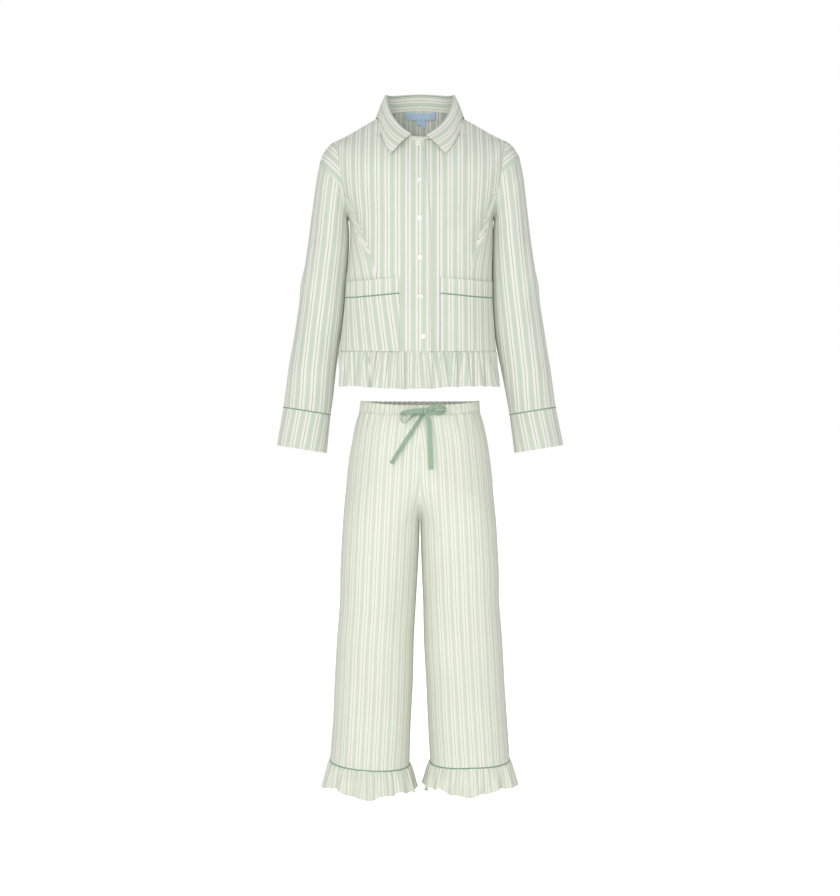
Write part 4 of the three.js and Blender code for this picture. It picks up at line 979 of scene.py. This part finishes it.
# Fine creases of a sleeve: ring and degrees at both ends, half width in degrees, how far out
SLEEVE_FINE = (
    (5.2, 70, 8.2, 96, 8, 1.3), (5.6, 40, 8.8, 62, 8, -1.2), (7.6, 30, 9.6, 84, 9, 1.4),
    (8.6, 22, 10.6, 70, 8, -1.5), (9.4, 40, 11.4, 92, 8, 1.2), (11.0, 60, 14.0, 74, 8, 1.1),
    (11.6, 20, 14.2, 34, 8, -1.1), (10.8, 100, 13.6, 112, 9, 1.0), (5.4, -70, 8.6, -92, 9, 1.3),
    (7.8, -30, 9.8, -80, 9, 1.4), (8.8, -24, 10.8, -72, 8, -1.4), (11.2, -62, 14.0, -76, 9, 1.1),
    (9.6, -44, 11.6, -96, 8, 1.2), (5.6, -40, 8.6, -60, 8, -1.1),
)


# One ring of the sleeve counts as much as this many degrees round it
RING_DEGREES = 12


def sleeve_detail(side, s, degrees):
    lines = [(s0 * RING_DEGREES, d0, s1 * RING_DEGREES, d1, wide, lift)
             for s0, d0, s1, d1, wide, lift in SLEEVE_FINE]
    push = 0.3 * ripple(degrees * 1.1, s * 46, 2.0 + side) + soft_lines(lines, s * RING_DEGREES, degrees)
    return push * smooth((s - 0.6) / 2.5) * smooth((14.8 - s) / 1.2)


# The fold where the cap of the sleeve hangs over, as seen from the front
CAP_FOLD = {LEFT: (-230, -114, -179, -167), RIGHT: (227, -104, 185, -143)}


def cap_distance(side, x, z):
    return side * beside(x, z, *CAP_FOLD[side])[1]


def sleeve_and_cuff(side):
    name = SIDES[side]
    count = 152
    s = np.concatenate([np.linspace(0, 6, 62), np.linspace(6, 15, 74)[1:]])[:, None]
    turns = full_turn(count)
    grid = sleeve_ring(side, s, turns[None, :], 1.0)
    away = cap_distance(side, grid[..., 0], grid[..., 2])
    near_cap = smooth((s - 0.5) / 1.0) * smooth((7.0 - s) / 2.0)
    facing = np.abs(np.sin(turns))[None, :] ** 0.5
    step = 1.9 * np.exp(-(((away - 4) / 5) ** 2)) - 1.9 * np.exp(-(((away + 4) / 4.5) ** 2))
    normal = normals_of(grid, True, grid.reshape(-1, 3).mean(axis=0))
    grid = grid + normal * (step * near_cap * facing)[..., None]
    grid[0] += armhole_out(side) * HAIR
    closed_grid = closed(grid)
    down_run = along(closed_grid, 0)
    u_cap = cap_distance(side, closed_grid[..., 0], closed_grid[..., 2])
    cap = smooth((u_cap + 1.0) / 2.0)
    u = shirt_u(mix(arm_stripes(side, closed_grid), u_cap, cap), 7.0)
    sleeve = shell(f"sleeve_{name}_cloth", grid, u, down_run, shirt_cloth, ring=True)
    dress(sleeve, "striped_cloth", f"sleeve_{name}")

    fine = full_turn(96)
    end = sleeve_ring(side, 15.0, fine)
    before = sleeve_ring(side, 14.0, fine)
    outer, inner = sleeve_ring(side, 15.0, np.array([0.0, np.pi]))
    middle = (outer + inner) / 2
    outer14, inner14 = sleeve_ring(side, 14.0, np.array([0.0, np.pi]))
    down = unit(middle - (outer14 + inner14) / 2)
    cord = middle + (end - middle) * 0.994
    piping = round_bar(f"cuff_piping_{name}_cord", cord, 1.35, piping_cloth, ring=True)
    dress(piping, "piping", f"cuff_piping_{name}")

    t = np.linspace(0, 1, 20)[:, None, None]
    grow = mix(1.0, 1.06, t)
    wavy = 1 + 0.012 * t * np.sin(fine * 5 + side)[None, :, None]
    grid = middle + (end - middle) * grow * wavy + down * mix(1.35, 88, t)
    closed_grid = closed(grid)
    round_run = along(closed_grid, 1)
    total = round_run[:, -1:]
    u = shirt_u(np.minimum(round_run, total - round_run), 2.0)
    cuff = shell(f"cuff_{name}_cloth", grid, u, along(closed_grid, 0), shirt_cloth, ring=True, thick=1.2)
    dress(cuff, "striped_cloth", f"cuff_{name}")
    stitches(f"cuff_stitches_{name}", grid, np.s_[-2], ring=True, middle=middle)


# Patch pockets with a band along the top and piping between
POCKET_TOP, POCKET_SEAM = -382, -418
POCKET_SAG = 4.6


def pocket(side):
    name = SIDES[side]

    def share_of(z, part):
        half = lookup(BODY, "z", z, "left" if side == LEFT else "right")
        outer = side * half * math.cos(math.radians(11)) ** SQUARE
        a = across_at(FRONT, outer, z)
        b = across_at(FRONT, np.full(z.shape, side * 45.0), z)
        return mix(a, b, part)

    def sheet(rows, columns, high, low, out):
        flat = np.linspace(high, low, rows + 1)[:, None] + np.zeros((1, columns + 1))
        part = np.linspace(0, 1, columns + 1)[None, :] + np.zeros((rows + 1, 1))
        across = share_of(flat, part)
        z = flat
        to_hem = low < POCKET_SEAM
        if to_hem:
            last = smooth((np.arange(rows + 1)[:, None] - rows + 6) / 6)
            z = flat + (seam_at(FRONT, across) + HAIR - low) * last
        down = np.linspace(0, 1, rows + 1)[:, None] + 0 * part
        z = z - POCKET_SAG * np.sin(np.pi * part) * ((1 - down) ** 2 if to_hem else 1)
        return off_body(FRONT, across, z, out(down, part), True)

    def lying(down, part):
        return 2.3 + 0.25 * np.sin(part * 19 + down * 3) * down * (1 - down) * 4

    def gape(down, part):
        return 2.3 + 3.0 * (1 - down) * np.sin(np.pi * part)

    patch = sheet(36, 44, POCKET_SEAM - 1.4, -545, lying)
    band = sheet(12, 44, POCKET_TOP, POCKET_SEAM + 1.4, gape)
    line = np.linspace(0, 1, 49)
    level = POCKET_SEAM - POCKET_SAG * np.sin(np.pi * line)
    cord = off_body(FRONT, share_of(level, line), level, np.full(49, 2.2), True)
    piping = round_bar(f"pocket_piping_{name}_cord", cord, 1.35, piping_cloth)
    dress(piping, "piping", f"pocket_piping_{name}")
    stitches(f"pocket_stitches_{name}", patch, np.s_[:, -2], middle=(0, 0, -460))
    stitches(f"band_stitches_{name}", band, np.s_[1], middle=(0, 0, -460))
    for label, node, grid, size, extra in (
        (f"pocket_{name}_cloth", f"pocket_{name}", patch, (0.165, 0.13), [piping]),
        (f"pocket_band_{name}_cloth", f"pocket_band_{name}", band, (0.165, 0.036), []),
    ):
        u = grain(FRONT, grid[..., 0], grid[..., 2])
        if node.startswith("pocket_right"):
            u = u + 0.14 * (grid[..., 2] - POCKET_SEAM)
        u = shirt_u(u, SHIRT_PHASE + 2.0)
        piece = shell(label, grid, u, along(grid, 0), shirt_cloth, middle=(0, 0, -460))
        dress(piece, "striped_cloth", node)


# How far the stripes of the ruffle swing at its seam, by the share across
RUFFLE_FANS = {
    FRONT: (
        (0, 0.08, 0.17, 0.24, 0.308, 0.322, 0.45, 0.592, 0.608, 0.70, 0.80, 0.90, 1),
        (-17, -13, 0, 6, 13, -12, 0, 17, -13, -6, 0, 9, 15),
    ),
    BACK: (
        (0, 0.12, 0.213, 0.227, 0.32, 0.413, 0.427, 0.54, 0.653, 0.667, 0.78, 0.9, 1),
        (-14, 0, 10, -10, 0, 12, -12, 0, 12, -11, 0, 8, 12),
    ),
}

# Ruffle round the hem: its deepest valleys lie at these shares across, with a depth and width
RUFFLE_VALLEYS = {
    FRONT: (
        (0.315, 8.0, 0.011), (0.60, 9.5, 0.011), (0.17, 3.5, 0.01), (0.80, 4.0, 0.011), (0.455, 3.0, 0.01),
    ),
    BACK: ((0.22, 3.5, 0.012), (0.42, 4.5, 0.012), (0.66, 4.0, 0.013), (0.86, 2.5, 0.011)),
}


# Small pleats under a gathered seam: how far out and sideways they move the cloth
def pleats(fine, down, begin, top, swell, sideways):
    pleat = np.sin(fine) + 0.35 * np.sin(2 * fine + 0.8)
    started = smooth(down / begin)
    wave = (top * (1 - down) ** 1.2 + swell * down * (1 - down)) * pleat * started
    return wave, -sideways * (1 - down) * np.cos(fine) * started


def ruffle_grid(face, columns, rows):
    across = np.linspace(0, 1, columns + 1)[None, :]
    down = np.linspace(0, 1, rows + 1)[:, None]
    seam = seam_at(face, across) - HAIR
    base = body(face, across, seam, True)
    turn = np.pi * across
    outward = unit(stack(-np.cos(turn), face * np.sin(turn) * 1.3, 0))
    sideways = unit(stack(np.sin(turn), face * np.cos(turn) * 0.8, 0))
    inside = np.abs(np.sin(turn))
    uneven = 0.75 + 0.25 * np.sin(across * 17 + face)
    phase = np.pi * 2 * (12 * across + 0.12 * np.sin(across * 19 + face)) + 0.6
    grown = 0.08 + 0.92 * down
    wave = 8 * uneven * grown * np.sin(phase) * inside ** 0.25
    lean = -3.6 * uneven * down * np.cos(phase) * inside
    fine = 2 * np.pi * 37 * across + 2.4 * np.sin(across * 23 + face) + face
    out, aside = pleats(fine, down, 0.06, 2.5, 1.3, 1.1)
    wave, lean = wave + out, lean + aside
    for at, deep, wide in RUFFLE_VALLEYS[face]:
        off = (across - at) / wide
        wave = wave - deep * np.exp(-off * off) * (0.25 + 0.75 * down)
        lean = lean - 0.55 * deep * off * np.exp(-off * off / 2) * down
    at_side = mix(-3, 5, across) * np.cos(turn) ** 2
    flare = 12 * np.sin(turn) * down**0.8 + at_side * down
    lift = down * (1.4 * np.sin(phase + 0.8) + 2.6 * np.sin(across * 13 + 0.6 + face)) * inside
    drop = 82 - (13 * inside**0.5 if face == BACK else 3.0 * np.sin(2 * turn) ** 2)
    grid = stack(base[..., 0], base[..., 1], seam - drop * down + lift * 0.6)
    return grid + outward * (flare + wave)[..., None] + sideways * lean[..., None]


def ruffle():
    columns, rows = 420, 26
    for face in (BACK, FRONT):
        grid = ruffle_grid(face, columns, rows)
        run = along(grid[-1:], 1)
        run = run - run[:, columns // 2: columns // 2 + 1]
        spread = np.linspace(1, 0, rows + 1)[:, None] ** 1.2
        fan = np.interp(np.linspace(0, 1, columns + 1), *RUFFLE_FANS[face])[None, :]
        u = shirt_u(run * 1.03 + fan * spread, SHIRT_PHASE)
        v = along(grid, 0)
        if face == BACK:
            pieces = [("ruffle_back_cloth", "ruffle_back", slice(0, None), 0, (0.62, 0.082))]
        else:
            lap = round(columns * 32 / 60)
            under = round(columns * 29 / 60)
            pieces = [
                ("ruffle_front_right_cloth", "ruffle_front_right", slice(0, lap + 1), 0, (0.34, 0.082)),
                ("ruffle_front_left_cloth", "ruffle_front_left", slice(under, None), 1.15, (0.34, 0.082)),
            ]
        normal = normals_of(grid, False, np.array([0, 0, -580.0]))
        across = np.linspace(0, 1, columns + 1)[None, :]
        for name, node, cut, inset, size in pieces:
            part = (grid - normal * (set_in(across) * inset)[..., None])[:, cut]
            piece = shell(name, part, u[:, cut], v[:, cut], shirt_cloth, middle=(0, 0, -580))
            dress(piece, "striped_cloth", node)


# Buttons: a dished disc with a rim, four holes as flat dark grey discs of painted shade, and two bars of
# thread
BUTTON_PLACES = ((-4.5, -78), (-1.4, -168), (-1.4, -252), (0, -339), (1, -426), (7, -514))
BUTTON_PROFILE = (
    (2.6, 1.3), (3.6, 1.5), (4.4, 2.1), (5.1, 2.35), (5.8, 2.1), (6.2, 1.4), (6.0, 0.5), (5.2, 0.1),
)
THREAD_ARCH = ((-1.05, 1.3), (-0.5, 1.62), (0.5, 1.62), (1.05, 1.3))
HOLE_OFF, HOLE_RADIUS, HOLE_DEEP = 1.05, 0.5, 0.2


def buttons():
    sides = 36
    turn = full_turn(sides)
    for number, (x, z) in enumerate(BUTTON_PLACES, 1):
        across = across_at(FRONT, float(x), float(z))
        foot = off_body(FRONT, across, float(z), 0.15)
        head = off_body(FRONT, across, float(z), 2.15)
        normal = unit(head - foot)
        side = unit(np.cross(normal, np.array([0.0, 0.0, 1.0])))
        rise = np.cross(side, normal)
        rings = [foot + normal * h + r * (side * np.cos(turn)[:, None] + rise * np.sin(turn)[:, None])
                 for r, h in BUTTON_PROFILE]
        points = np.concatenate([*rings, [foot + normal * 1.3], [foot + normal * 0.1]])
        faces = []
        for k in range(len(rings) - 1):
            for j in range(sides):
                n = (j + 1) % sides
                faces.append([k * sides + j, (k + 1) * sides + j, (k + 1) * sides + n, k * sides + n])
        top, low = len(points) - 2, len(points) - 1
        base = (len(rings) - 1) * sides
        for j in range(sides):
            n = (j + 1) % sides
            faces.append([top, j, n])
            faces.append([low, base + n, base + j])
        piece = new_mesh(f"button_{number}_shell", points, faces, button_look, sharp=60)
        dress(piece, "button", f"button_{number}")
        # The holes are flat dark grey discs on the button's face: painted shade in place of openings
        hole_shade_points, hole_shade_faces = [], []
        ring = turn[::4]
        n = len(ring)
        for a in (-1, 1):
            for b in (-1, 1):
                centre = foot + normal * 1.33 + side * a * HOLE_OFF + rise * b * HOLE_OFF
                top = centre + HOLE_RADIUS * (side * np.cos(ring)[:, None] + rise * np.sin(ring)[:, None])
                start = len(hole_shade_points)
                hole_shade_points += [*top, *(top - normal * HOLE_DEEP)]
                hole_shade_faces.append([start + j for j in range(n)])
                hole_shade_faces.append([start + n + j for j in range(n)][::-1])
                for j in range(n):
                    k = (j + 1) % n
                    hole_shade_faces.append([start + j, start + n + j, start + n + k, start + k])
        dress(new_mesh(f"button_{number}_hole_shade", np.array(hole_shade_points), hole_shade_faces, hole_shade_look), "button")
        for a in (-1, 1):
            ends = np.array([foot + normal * h + side * a * HOLE_OFF + rise * r for r, h in THREAD_ARCH])
            thread = round_bar(f"button_{number}_thread_{a + 2}", ends, 0.24, thread_cloth, sides=6)
            dress(thread, "button")


# Trousers
def fork_angle(z):
    return np.pi / 2 + np.arcsin(smooth((-770 - z) / 162))


def gather_lines():
    lines = []
    for k in range(66):
        turn = (k + rng.uniform(-0.3, 0.3)) / 66 * 2 * np.pi
        reach, width, lift = rng.uniform(16, 74), rng.uniform(0.035, 0.05), rng.uniform(0.8, 2.0)
        lines.append((turn, reach, width, lift if k % 2 else -lift))
    return lines


GATHERS = gather_lines()


def gathers(x, y, below):
    place = np.arctan2(-y / 100, x / 140)
    push = np.zeros(np.broadcast(x, below).shape)
    for turn, reach, width, lift in GATHERS:
        off = np.angle(np.exp(1j * (place - turn)))
        push = push + lift * np.exp(-((off / width) ** 2)) * smooth(1 - below / reach)
    return push


def leg_lines(side, z):
    outer = lookup(TROUSER, "z", z, "outL" if side == LEFT else "outR")
    return outer, lookup(TROUSER, "z", z, "inL" if side == LEFT else "inR")


def trouser(side, face, share, z, fine=False):
    outer, inner = leg_lines(side, z)
    inner = np.maximum(inner, 0.3)
    depth = lookup(TROUSER, "z", z, "front" if face == FRONT else "back")
    end = fork_angle(z)
    half = (outer - inner) / (1 - power(np.cos(end)))
    turn = end * share
    x = side * (outer - half + half * power(np.cos(turn)))
    y = face * depth * power(np.maximum(0, np.sin(turn)))
    calm = smooth(share / 0.2) * smooth((1 - share) / 0.12)
    calm = calm * smooth((-677 - z) / 30) * smooth((z - HEM_Z) / 60)
    push = soft_lines(TROUSER_FOLDS[face], x, z) * calm
    if fine:
        push = push + soft_lines(TROUSER_CREASES[face], x, z) * calm + 0.4 * ripple(x, z, 3.0 + face) * calm
        push = push + 1.25 * gathers(x, y, -690 - z) * smooth(share / 0.05)
    return stack(x, y + face * push, z)


WAIST_TOP = (-652, -665, -650)
WAIST_LOW = (-677, -688, -680)


def waist_level(turn, levels):
    ahead = np.sin(turn)
    side, front, back = levels
    return mix(side, np.where(ahead > 0, front, back), np.abs(ahead) ** 1.5)


def trouser_panel(side, face):
    rows, columns = 190, 56
    share = np.linspace(0, 1, columns + 1)[None, :]
    t = np.linspace(0, 1, rows + 1)[:, None]
    level = mix(-677.0, -1480.0, mix(t, t * t, 0.25))
    low = waist_level(-face * share * np.pi / 2, WAIST_LOW) - HAIR
    drop = (low + 677) * (1 - smooth((-677 - level) / 103))
    hem = 1.4 * (t == 1)
    z = level + drop
    grid = trouser(side, face, share, z, True)
    grid[..., 2] += hem + hem_lift(side, grid[..., 0]) * smooth((-1330 - grid[..., 2]) / 150)
    run = along(grid, 1)
    x = side * grid[..., 0]
    reversed_x, reversed_run = x[:, ::-1], run[:, ::-1]
    axis = (x.max(axis=1) + x.min(axis=1)) / 2
    zero = np.array([np.interp(a, rx, rr) for a, rx, rr in zip(axis, reversed_x, reversed_run)])[:, None]
    u = leg_u((run - zero) * -side, 4.8 * -side)
    name = f"trouser_{'front' if face == FRONT else 'back'}_{SIDES[side]}"
    piece = shell(f"{name}_cloth", grid, u, along(grid, 0), leg_cloth, middle=(side * 90, 0, -1100))
    dress(piece, "striped_cloth", name)


def waist_point(turn, down):
    cosine = np.cos(turn)
    half = mix(135, np.where(cosine < 0, 139, 137), down)
    depth = mix(94, np.where(np.sin(turn) > 0, 97, 98), down)
    top, low = waist_level(turn, WAIST_TOP), waist_level(turn, WAIST_LOW)
    return stack(half * power(cosine), -depth * power(np.sin(turn)), mix(top, low, down))


def waistband():
    columns = 720
    turn = full_turn(columns)[None, :]
    down = np.linspace(0, 1, 15)[:, None]
    grid = waist_point(turn, down)
    outward = unit(stack(grid[..., 0], grid[..., 1], 0))
    phase = 66 * turn + 1.3 * np.sin(turn * 7) + 0.5 * np.sin(down * 5 + turn * 9)
    squeeze = 0.65 + 0.35 * np.cos(np.pi * (down - 0.1) * 2.0) ** 2
    wave = 1.5 * np.sin(phase) * squeeze + 0.5 * np.sin(phase * 2 + 0.9)
    wave = wave - 0.9 * np.exp(-(((down - 0.74) / 0.05) ** 2))
    grid = grid + outward * wave[..., None]
    grid[..., 2] += 0.6 * np.sin(phase + 0.7) * (1 - down)
    closed_grid = closed(grid)
    run = along(closed_grid[7:8], 1) * 1.35
    u = leg_u(run, 0.0) + np.zeros((15, 1))
    piece = shell("waistband_cloth", grid, u, along(closed_grid, 0), leg_cloth, ring=True, thick=1.6)
    dress(piece, "striped_cloth", "waistband")
    stitches("waist_stitches", closed_grid[:, :-1], np.s_[11], ring=True, middle=(0, 0, -665))


# Frills: valleys at these degrees round each leg, with a depth and a width in degrees; lift of the hem
# at the inner line, the middle and the outer line
HEM_Z = -1480
HEM_DEEP = 95
FRILL_VALLEYS = {
    LEFT: (
        (52, 4.5, 3.0), (78, 3.0, 2.6), (112, 5.0, 3.0), (139, 3.5, 3.0), (238, 4.0, 3.2), (287, 4.0, 3.0),
    ),
    RIGHT: (
        (44, 4.0, 3.0), (66, 4.6, 3.0), (97, 3.2, 2.6), (131, 4.6, 3.2), (250, 4.0, 3.2), (303, 4.0, 3.0),
    ),
}
HEM_LIFT = {LEFT: (-5, 0, 7), RIGHT: (1, 6, 7)}


def hem_lift(side, x):
    outer, inner = leg_lines(side, HEM_Z)
    return np.interp((side * x - inner) / (outer - inner), (0, 0.5, 1), HEM_LIFT[side])


def hem_point(side, turn):
    outer, inner = leg_lines(side, HEM_Z)
    half = (outer - inner) / 2
    x = side * (inner + half) + side * half * power(np.cos(turn))
    return stack(x, -HEM_DEEP * power(np.sin(turn)), HEM_Z + hem_lift(side, x))


def hem(side):
    name = SIDES[side]
    columns, rows = 420, 22
    turn = full_turn(columns)[None, :]
    down = np.linspace(0, 1, rows + 1)[:, None]
    base = hem_point(side, turn)
    middle_x = (hem_point(side, 0.0)[0] + hem_point(side, np.pi)[0]) / 2
    outward = unit(stack(base[..., 0] - middle_x, base[..., 1], 0))
    spread = 15 if side == LEFT else 13
    uneven = 0.78 + 0.22 * np.sin(turn * 2 + side)
    phase = 14 * turn + 0.5 * np.sin(turn * 3 + side)
    wave = 8 * uneven * (0.08 + 0.92 * down) * np.sin(phase)
    sideways = unit(stack(-base[..., 1], base[..., 0] - middle_x, 0))
    lean = -3.2 * uneven * down * np.cos(phase)
    fine = 46 * turn + 2.0 * np.sin(turn * 5 + side)
    out, aside = pleats(fine, down, 0.08, 2.3, 1.2, 1.0)
    wave, lean = wave + out, lean + aside
    for at, deep, wide in FRILL_VALLEYS[side]:
        off = np.angle(np.exp(1j * (turn - math.radians(at)))) / math.radians(wide)
        wave = wave - deep * np.exp(-off * off) * (0.25 + 0.75 * down)
    swing = 3.0 * np.sin(phase + 0.9) + 1.8 * np.sin(turn * 5 + 2 * side)
    rise = 11.0 * np.sin(2 * turn) ** 2 * (np.sin(turn) > 0) + 14.0 * smooth(-2.5 * np.sin(turn))
    z = base[..., 2] - 1.4 - 58.6 * down + down * (swing + rise)
    grid = stack(base[..., 0], base[..., 1], z) + outward * (spread * down**0.8 + wave)[..., None]
    grid = grid + sideways * lean[..., None]
    closed_grid = closed(grid)
    run = along(closed_grid[-1:], 1)
    u = leg_u(run, 0.0) + np.zeros((rows + 1, 1))
    frill = shell(f"frill_{name}_cloth", grid, u, along(closed_grid, 0), leg_cloth, ring=True)
    cord = hem_point(side, full_turn(120))
    cord[:, 0] = middle_x + (cord[:, 0] - middle_x) * 0.996
    cord[:, 1] *= 0.996
    piping = round_bar(f"hem_piping_{name}_cord", cord, 1.35, piping_cloth, ring=True)
    dress(piping, "piping", f"hem_piping_{name}")
    dress(frill, "striped_cloth", f"frill_{name}")


# The tape bow on the front of the waist
def waist_face(x, z):
    if z > -688:
        ratio = min(abs(x) / 137, 1) ** (1 / SQUARE)
        return -97 * math.sqrt(1 - ratio * ratio) ** SQUARE
    side = LEFT if x < 0 else RIGHT
    low, high = 0.0, 1.0
    for _ in range(25):
        middle = (low + high) / 2
        if float(trouser(side, FRONT, middle, z)[0]) * side > abs(x):
            low = middle
        else:
            high = middle
    return float(trouser(side, FRONT, (low + high) / 2, z)[1])


# Each point of a loop: x, z, how far out, and how the tape tilts there; of a tail: x, z, how far out
TAPE_WIDE = 10.5
TAPE_POINTS = 7
BOW_LOOPS = {
    "bow_loop_right": (
        (18, -675, 3, 70), (27, -670, 5, 74), (39, -668, 7, 72), (50, -670, 8, 60), (56.5, -675, 7, 10),
        (52, -680.5, 5, 48), (40, -682.5, 3.5, 62), (28, -681, 3, 66), (18, -678.5, 2.5, 70),
    ),
    "bow_loop_left": (
        (6.5, -676.5, 3, 70), (-5, -678, 5, 74), (-20, -679.5, 6, 72), (-34, -682, 7, 60),
        (-43, -687, 7, 18), (-42.5, -698, 6, 6), (-36, -704.5, 5, 4), (-27, -699, 4, 8),
        (-14, -688, 3.4, 30), (6.5, -680, 2.6, 66),
    ),
}
BOW_TAILS = {
    "bow_tail_left": (
        (8, -684.1, 3.5), (-4, -702, 5), (-22, -730, 5), (-42, -760, 5), (-57, -784, 5), (-63.5, -795, 5),
    ),
    "bow_tail_right": (
        (16, -684.1, 3.5), (20, -708, 5), (22, -734, 5), (23, -760, 5), (24.5, -808, 5),
    ),
}


def tape(name, points, across, thick=0.9):
    tangent = unit(np.gradient(points, axis=0))
    wide = unit(without(np.broadcast_to(across, points.shape), tangent))
    flat = np.cross(tangent, wide)
    corners = []
    for face in (1, -1):
        for share in np.linspace(-0.5, 0.5, TAPE_POINTS) * face:
            corners.append(wide * share * TAPE_WIDE + flat * face * thick / 2)
    sections = np.stack(corners, axis=1)
    return sweep(name, points, sections, tape_cloth, sharp=50, uv_wide=2 * TAPE_WIDE)


def bow():
    band = -98.1
    knot_middle = np.array([12.0, band + 0.3 - 2.5, -677.5])
    turn = np.linspace(0, 2 * np.pi, 33)[:-1]
    rows = []
    for t in np.linspace(-1, 1, 13):
        pinch = 1 - 0.16 * t * t
        ring = stack(
            4.3 * pinch * power(np.cos(turn)) + 0.25 * np.sin(turn * 5 + t * 3),
            2.6 * power(np.sin(turn)) * pinch,
            t * 5.9 + 0 * turn,
        )
        rows.append(ring + knot_middle)
    grid = np.array(rows)
    closed_grid = closed(grid)
    u, v = along(closed_grid, 1), along(closed_grid, 0)
    knot = shell("bow_knot_tape", grid, u, v, tape_cloth, ring=True, thick=1.0)
    dress(knot, "tape", "bow_knot")
    for name, rows in BOW_LOOPS.items():
        route = [
            (x, min(waist_face(x, z), -94) - out - (TAPE_WIDE / 2) * math.cos(math.radians(tilt)), z, tilt)
            for x, z, out, tilt in rows
        ]
        path = curve_through(route, 90)
        tilt = np.radians(path[:, 3])
        across = np.stack([0 * tilt, np.cos(tilt), np.sin(tilt)], -1)
        piece = tape(f"{name}_tape", path[:, :3], across)
        dress(piece, "tape", name)
    for name, rows in BOW_TAILS.items():
        route = [(x, waist_face(x, z) - out, z) for x, z, out in rows]
        points = curve_through(route, 40)
        turned = -0.55 if name == "bow_tail_left" else 0.0
        piece = tape(f"{name}_tape", points, np.array([1.0, turned, 0.3]))
        dress(piece, "tape", name)
        path = [tuple(float(v) * MM for v in p) for p in points]


# Light from all round, as a share of what the background shows
AROUND = 0.54


# What the camera sees of the surround, as against the light that it gives
def seen_and_given(tree, seen, given, socket):
    rays = tree.nodes.new("ShaderNodeLightPath")
    strength = tree.nodes.new("ShaderNodeMapRange")
    strength.inputs["To Min"].default_value = given
    strength.inputs["To Max"].default_value = seen
    tree.links.new(rays.outputs["Is Camera Ray"], strength.inputs["Value"])
    tree.links.new(strength.outputs[0], socket)


# Plain studio: pale floor, white surround and three soft lights
def studio():
    world = bpy.data.worlds.new("studio")
    scene.world = world
    world.use_nodes = True
    tree = world.node_tree
    background = tree.nodes["Background"]
    background.inputs[0].default_value = (1.0, 1.0, 1.0, 1.0)
    seen_and_given(tree, 1.0, AROUND, background.inputs[1])
    floor_mesh = bpy.data.meshes.new("floor")
    far, low = 40.0, -1.9
    corners = [(-far, -far, low), (far, -far, low), (far, far, low), (-far, far, low)]
    floor_mesh.from_pydata(corners, [], [(0, 1, 2, 3)])
    look = bpy.data.materials.new("floor")
    look.use_nodes = True
    shader = look.node_tree.nodes["Principled BSDF"]
    shader.inputs["Base Color"].default_value = (0.97, 0.97, 0.97, 1.0)
    shader.inputs["Roughness"].default_value = 1.0
    shader.inputs["Specular IOR Level"].default_value = 0.0
    shader.inputs["Emission Color"].default_value = (1.0, 1.0, 1.0, 1.0)
    seen_and_given(look.node_tree, 0.85, 0.12, shader.inputs["Emission Strength"])
    floor_mesh.materials.append(look)
    floor = bpy.data.objects.new("floor", floor_mesh)
    scene.collection.objects.link(floor)
    for name, place, size, watts in (
        ("key", (-2.4, -3.4, 1.6), 2.2, 24.0),
        ("fill", (2.8, -2.6, 0.4), 2.6, 6.0),
        ("front", (-0.3, -4.2, -0.55), 2.6, 68.0),
    ):
        light = bpy.data.lights.new(name, "AREA")
        light.size = size
        light.energy = watts
        if name == "front":
            light.shape = "RECTANGLE"
            light.size_y = 0.6
        lamp = bpy.data.objects.new(name, light)
        lamp.location = place
        aim = Vector((0.0, 0.0, -0.55 if name == "front" else -0.75)) - Vector(place)
        lamp.rotation_euler = aim.to_track_quat("-Z", "Y").to_euler()
        scene.collection.objects.link(lamp)
    scene.view_settings.view_transform = "Standard"


shirt_body()
collar()
neck_labels()
for side in (LEFT, RIGHT):
    sleeve_and_cuff(side)
    pocket(side)
ruffle()
buttons()
for side in (LEFT, RIGHT):
    trouser_panel(side, FRONT)
    trouser_panel(side, BACK)
    hem(side)
waistband()
bow()
studio()
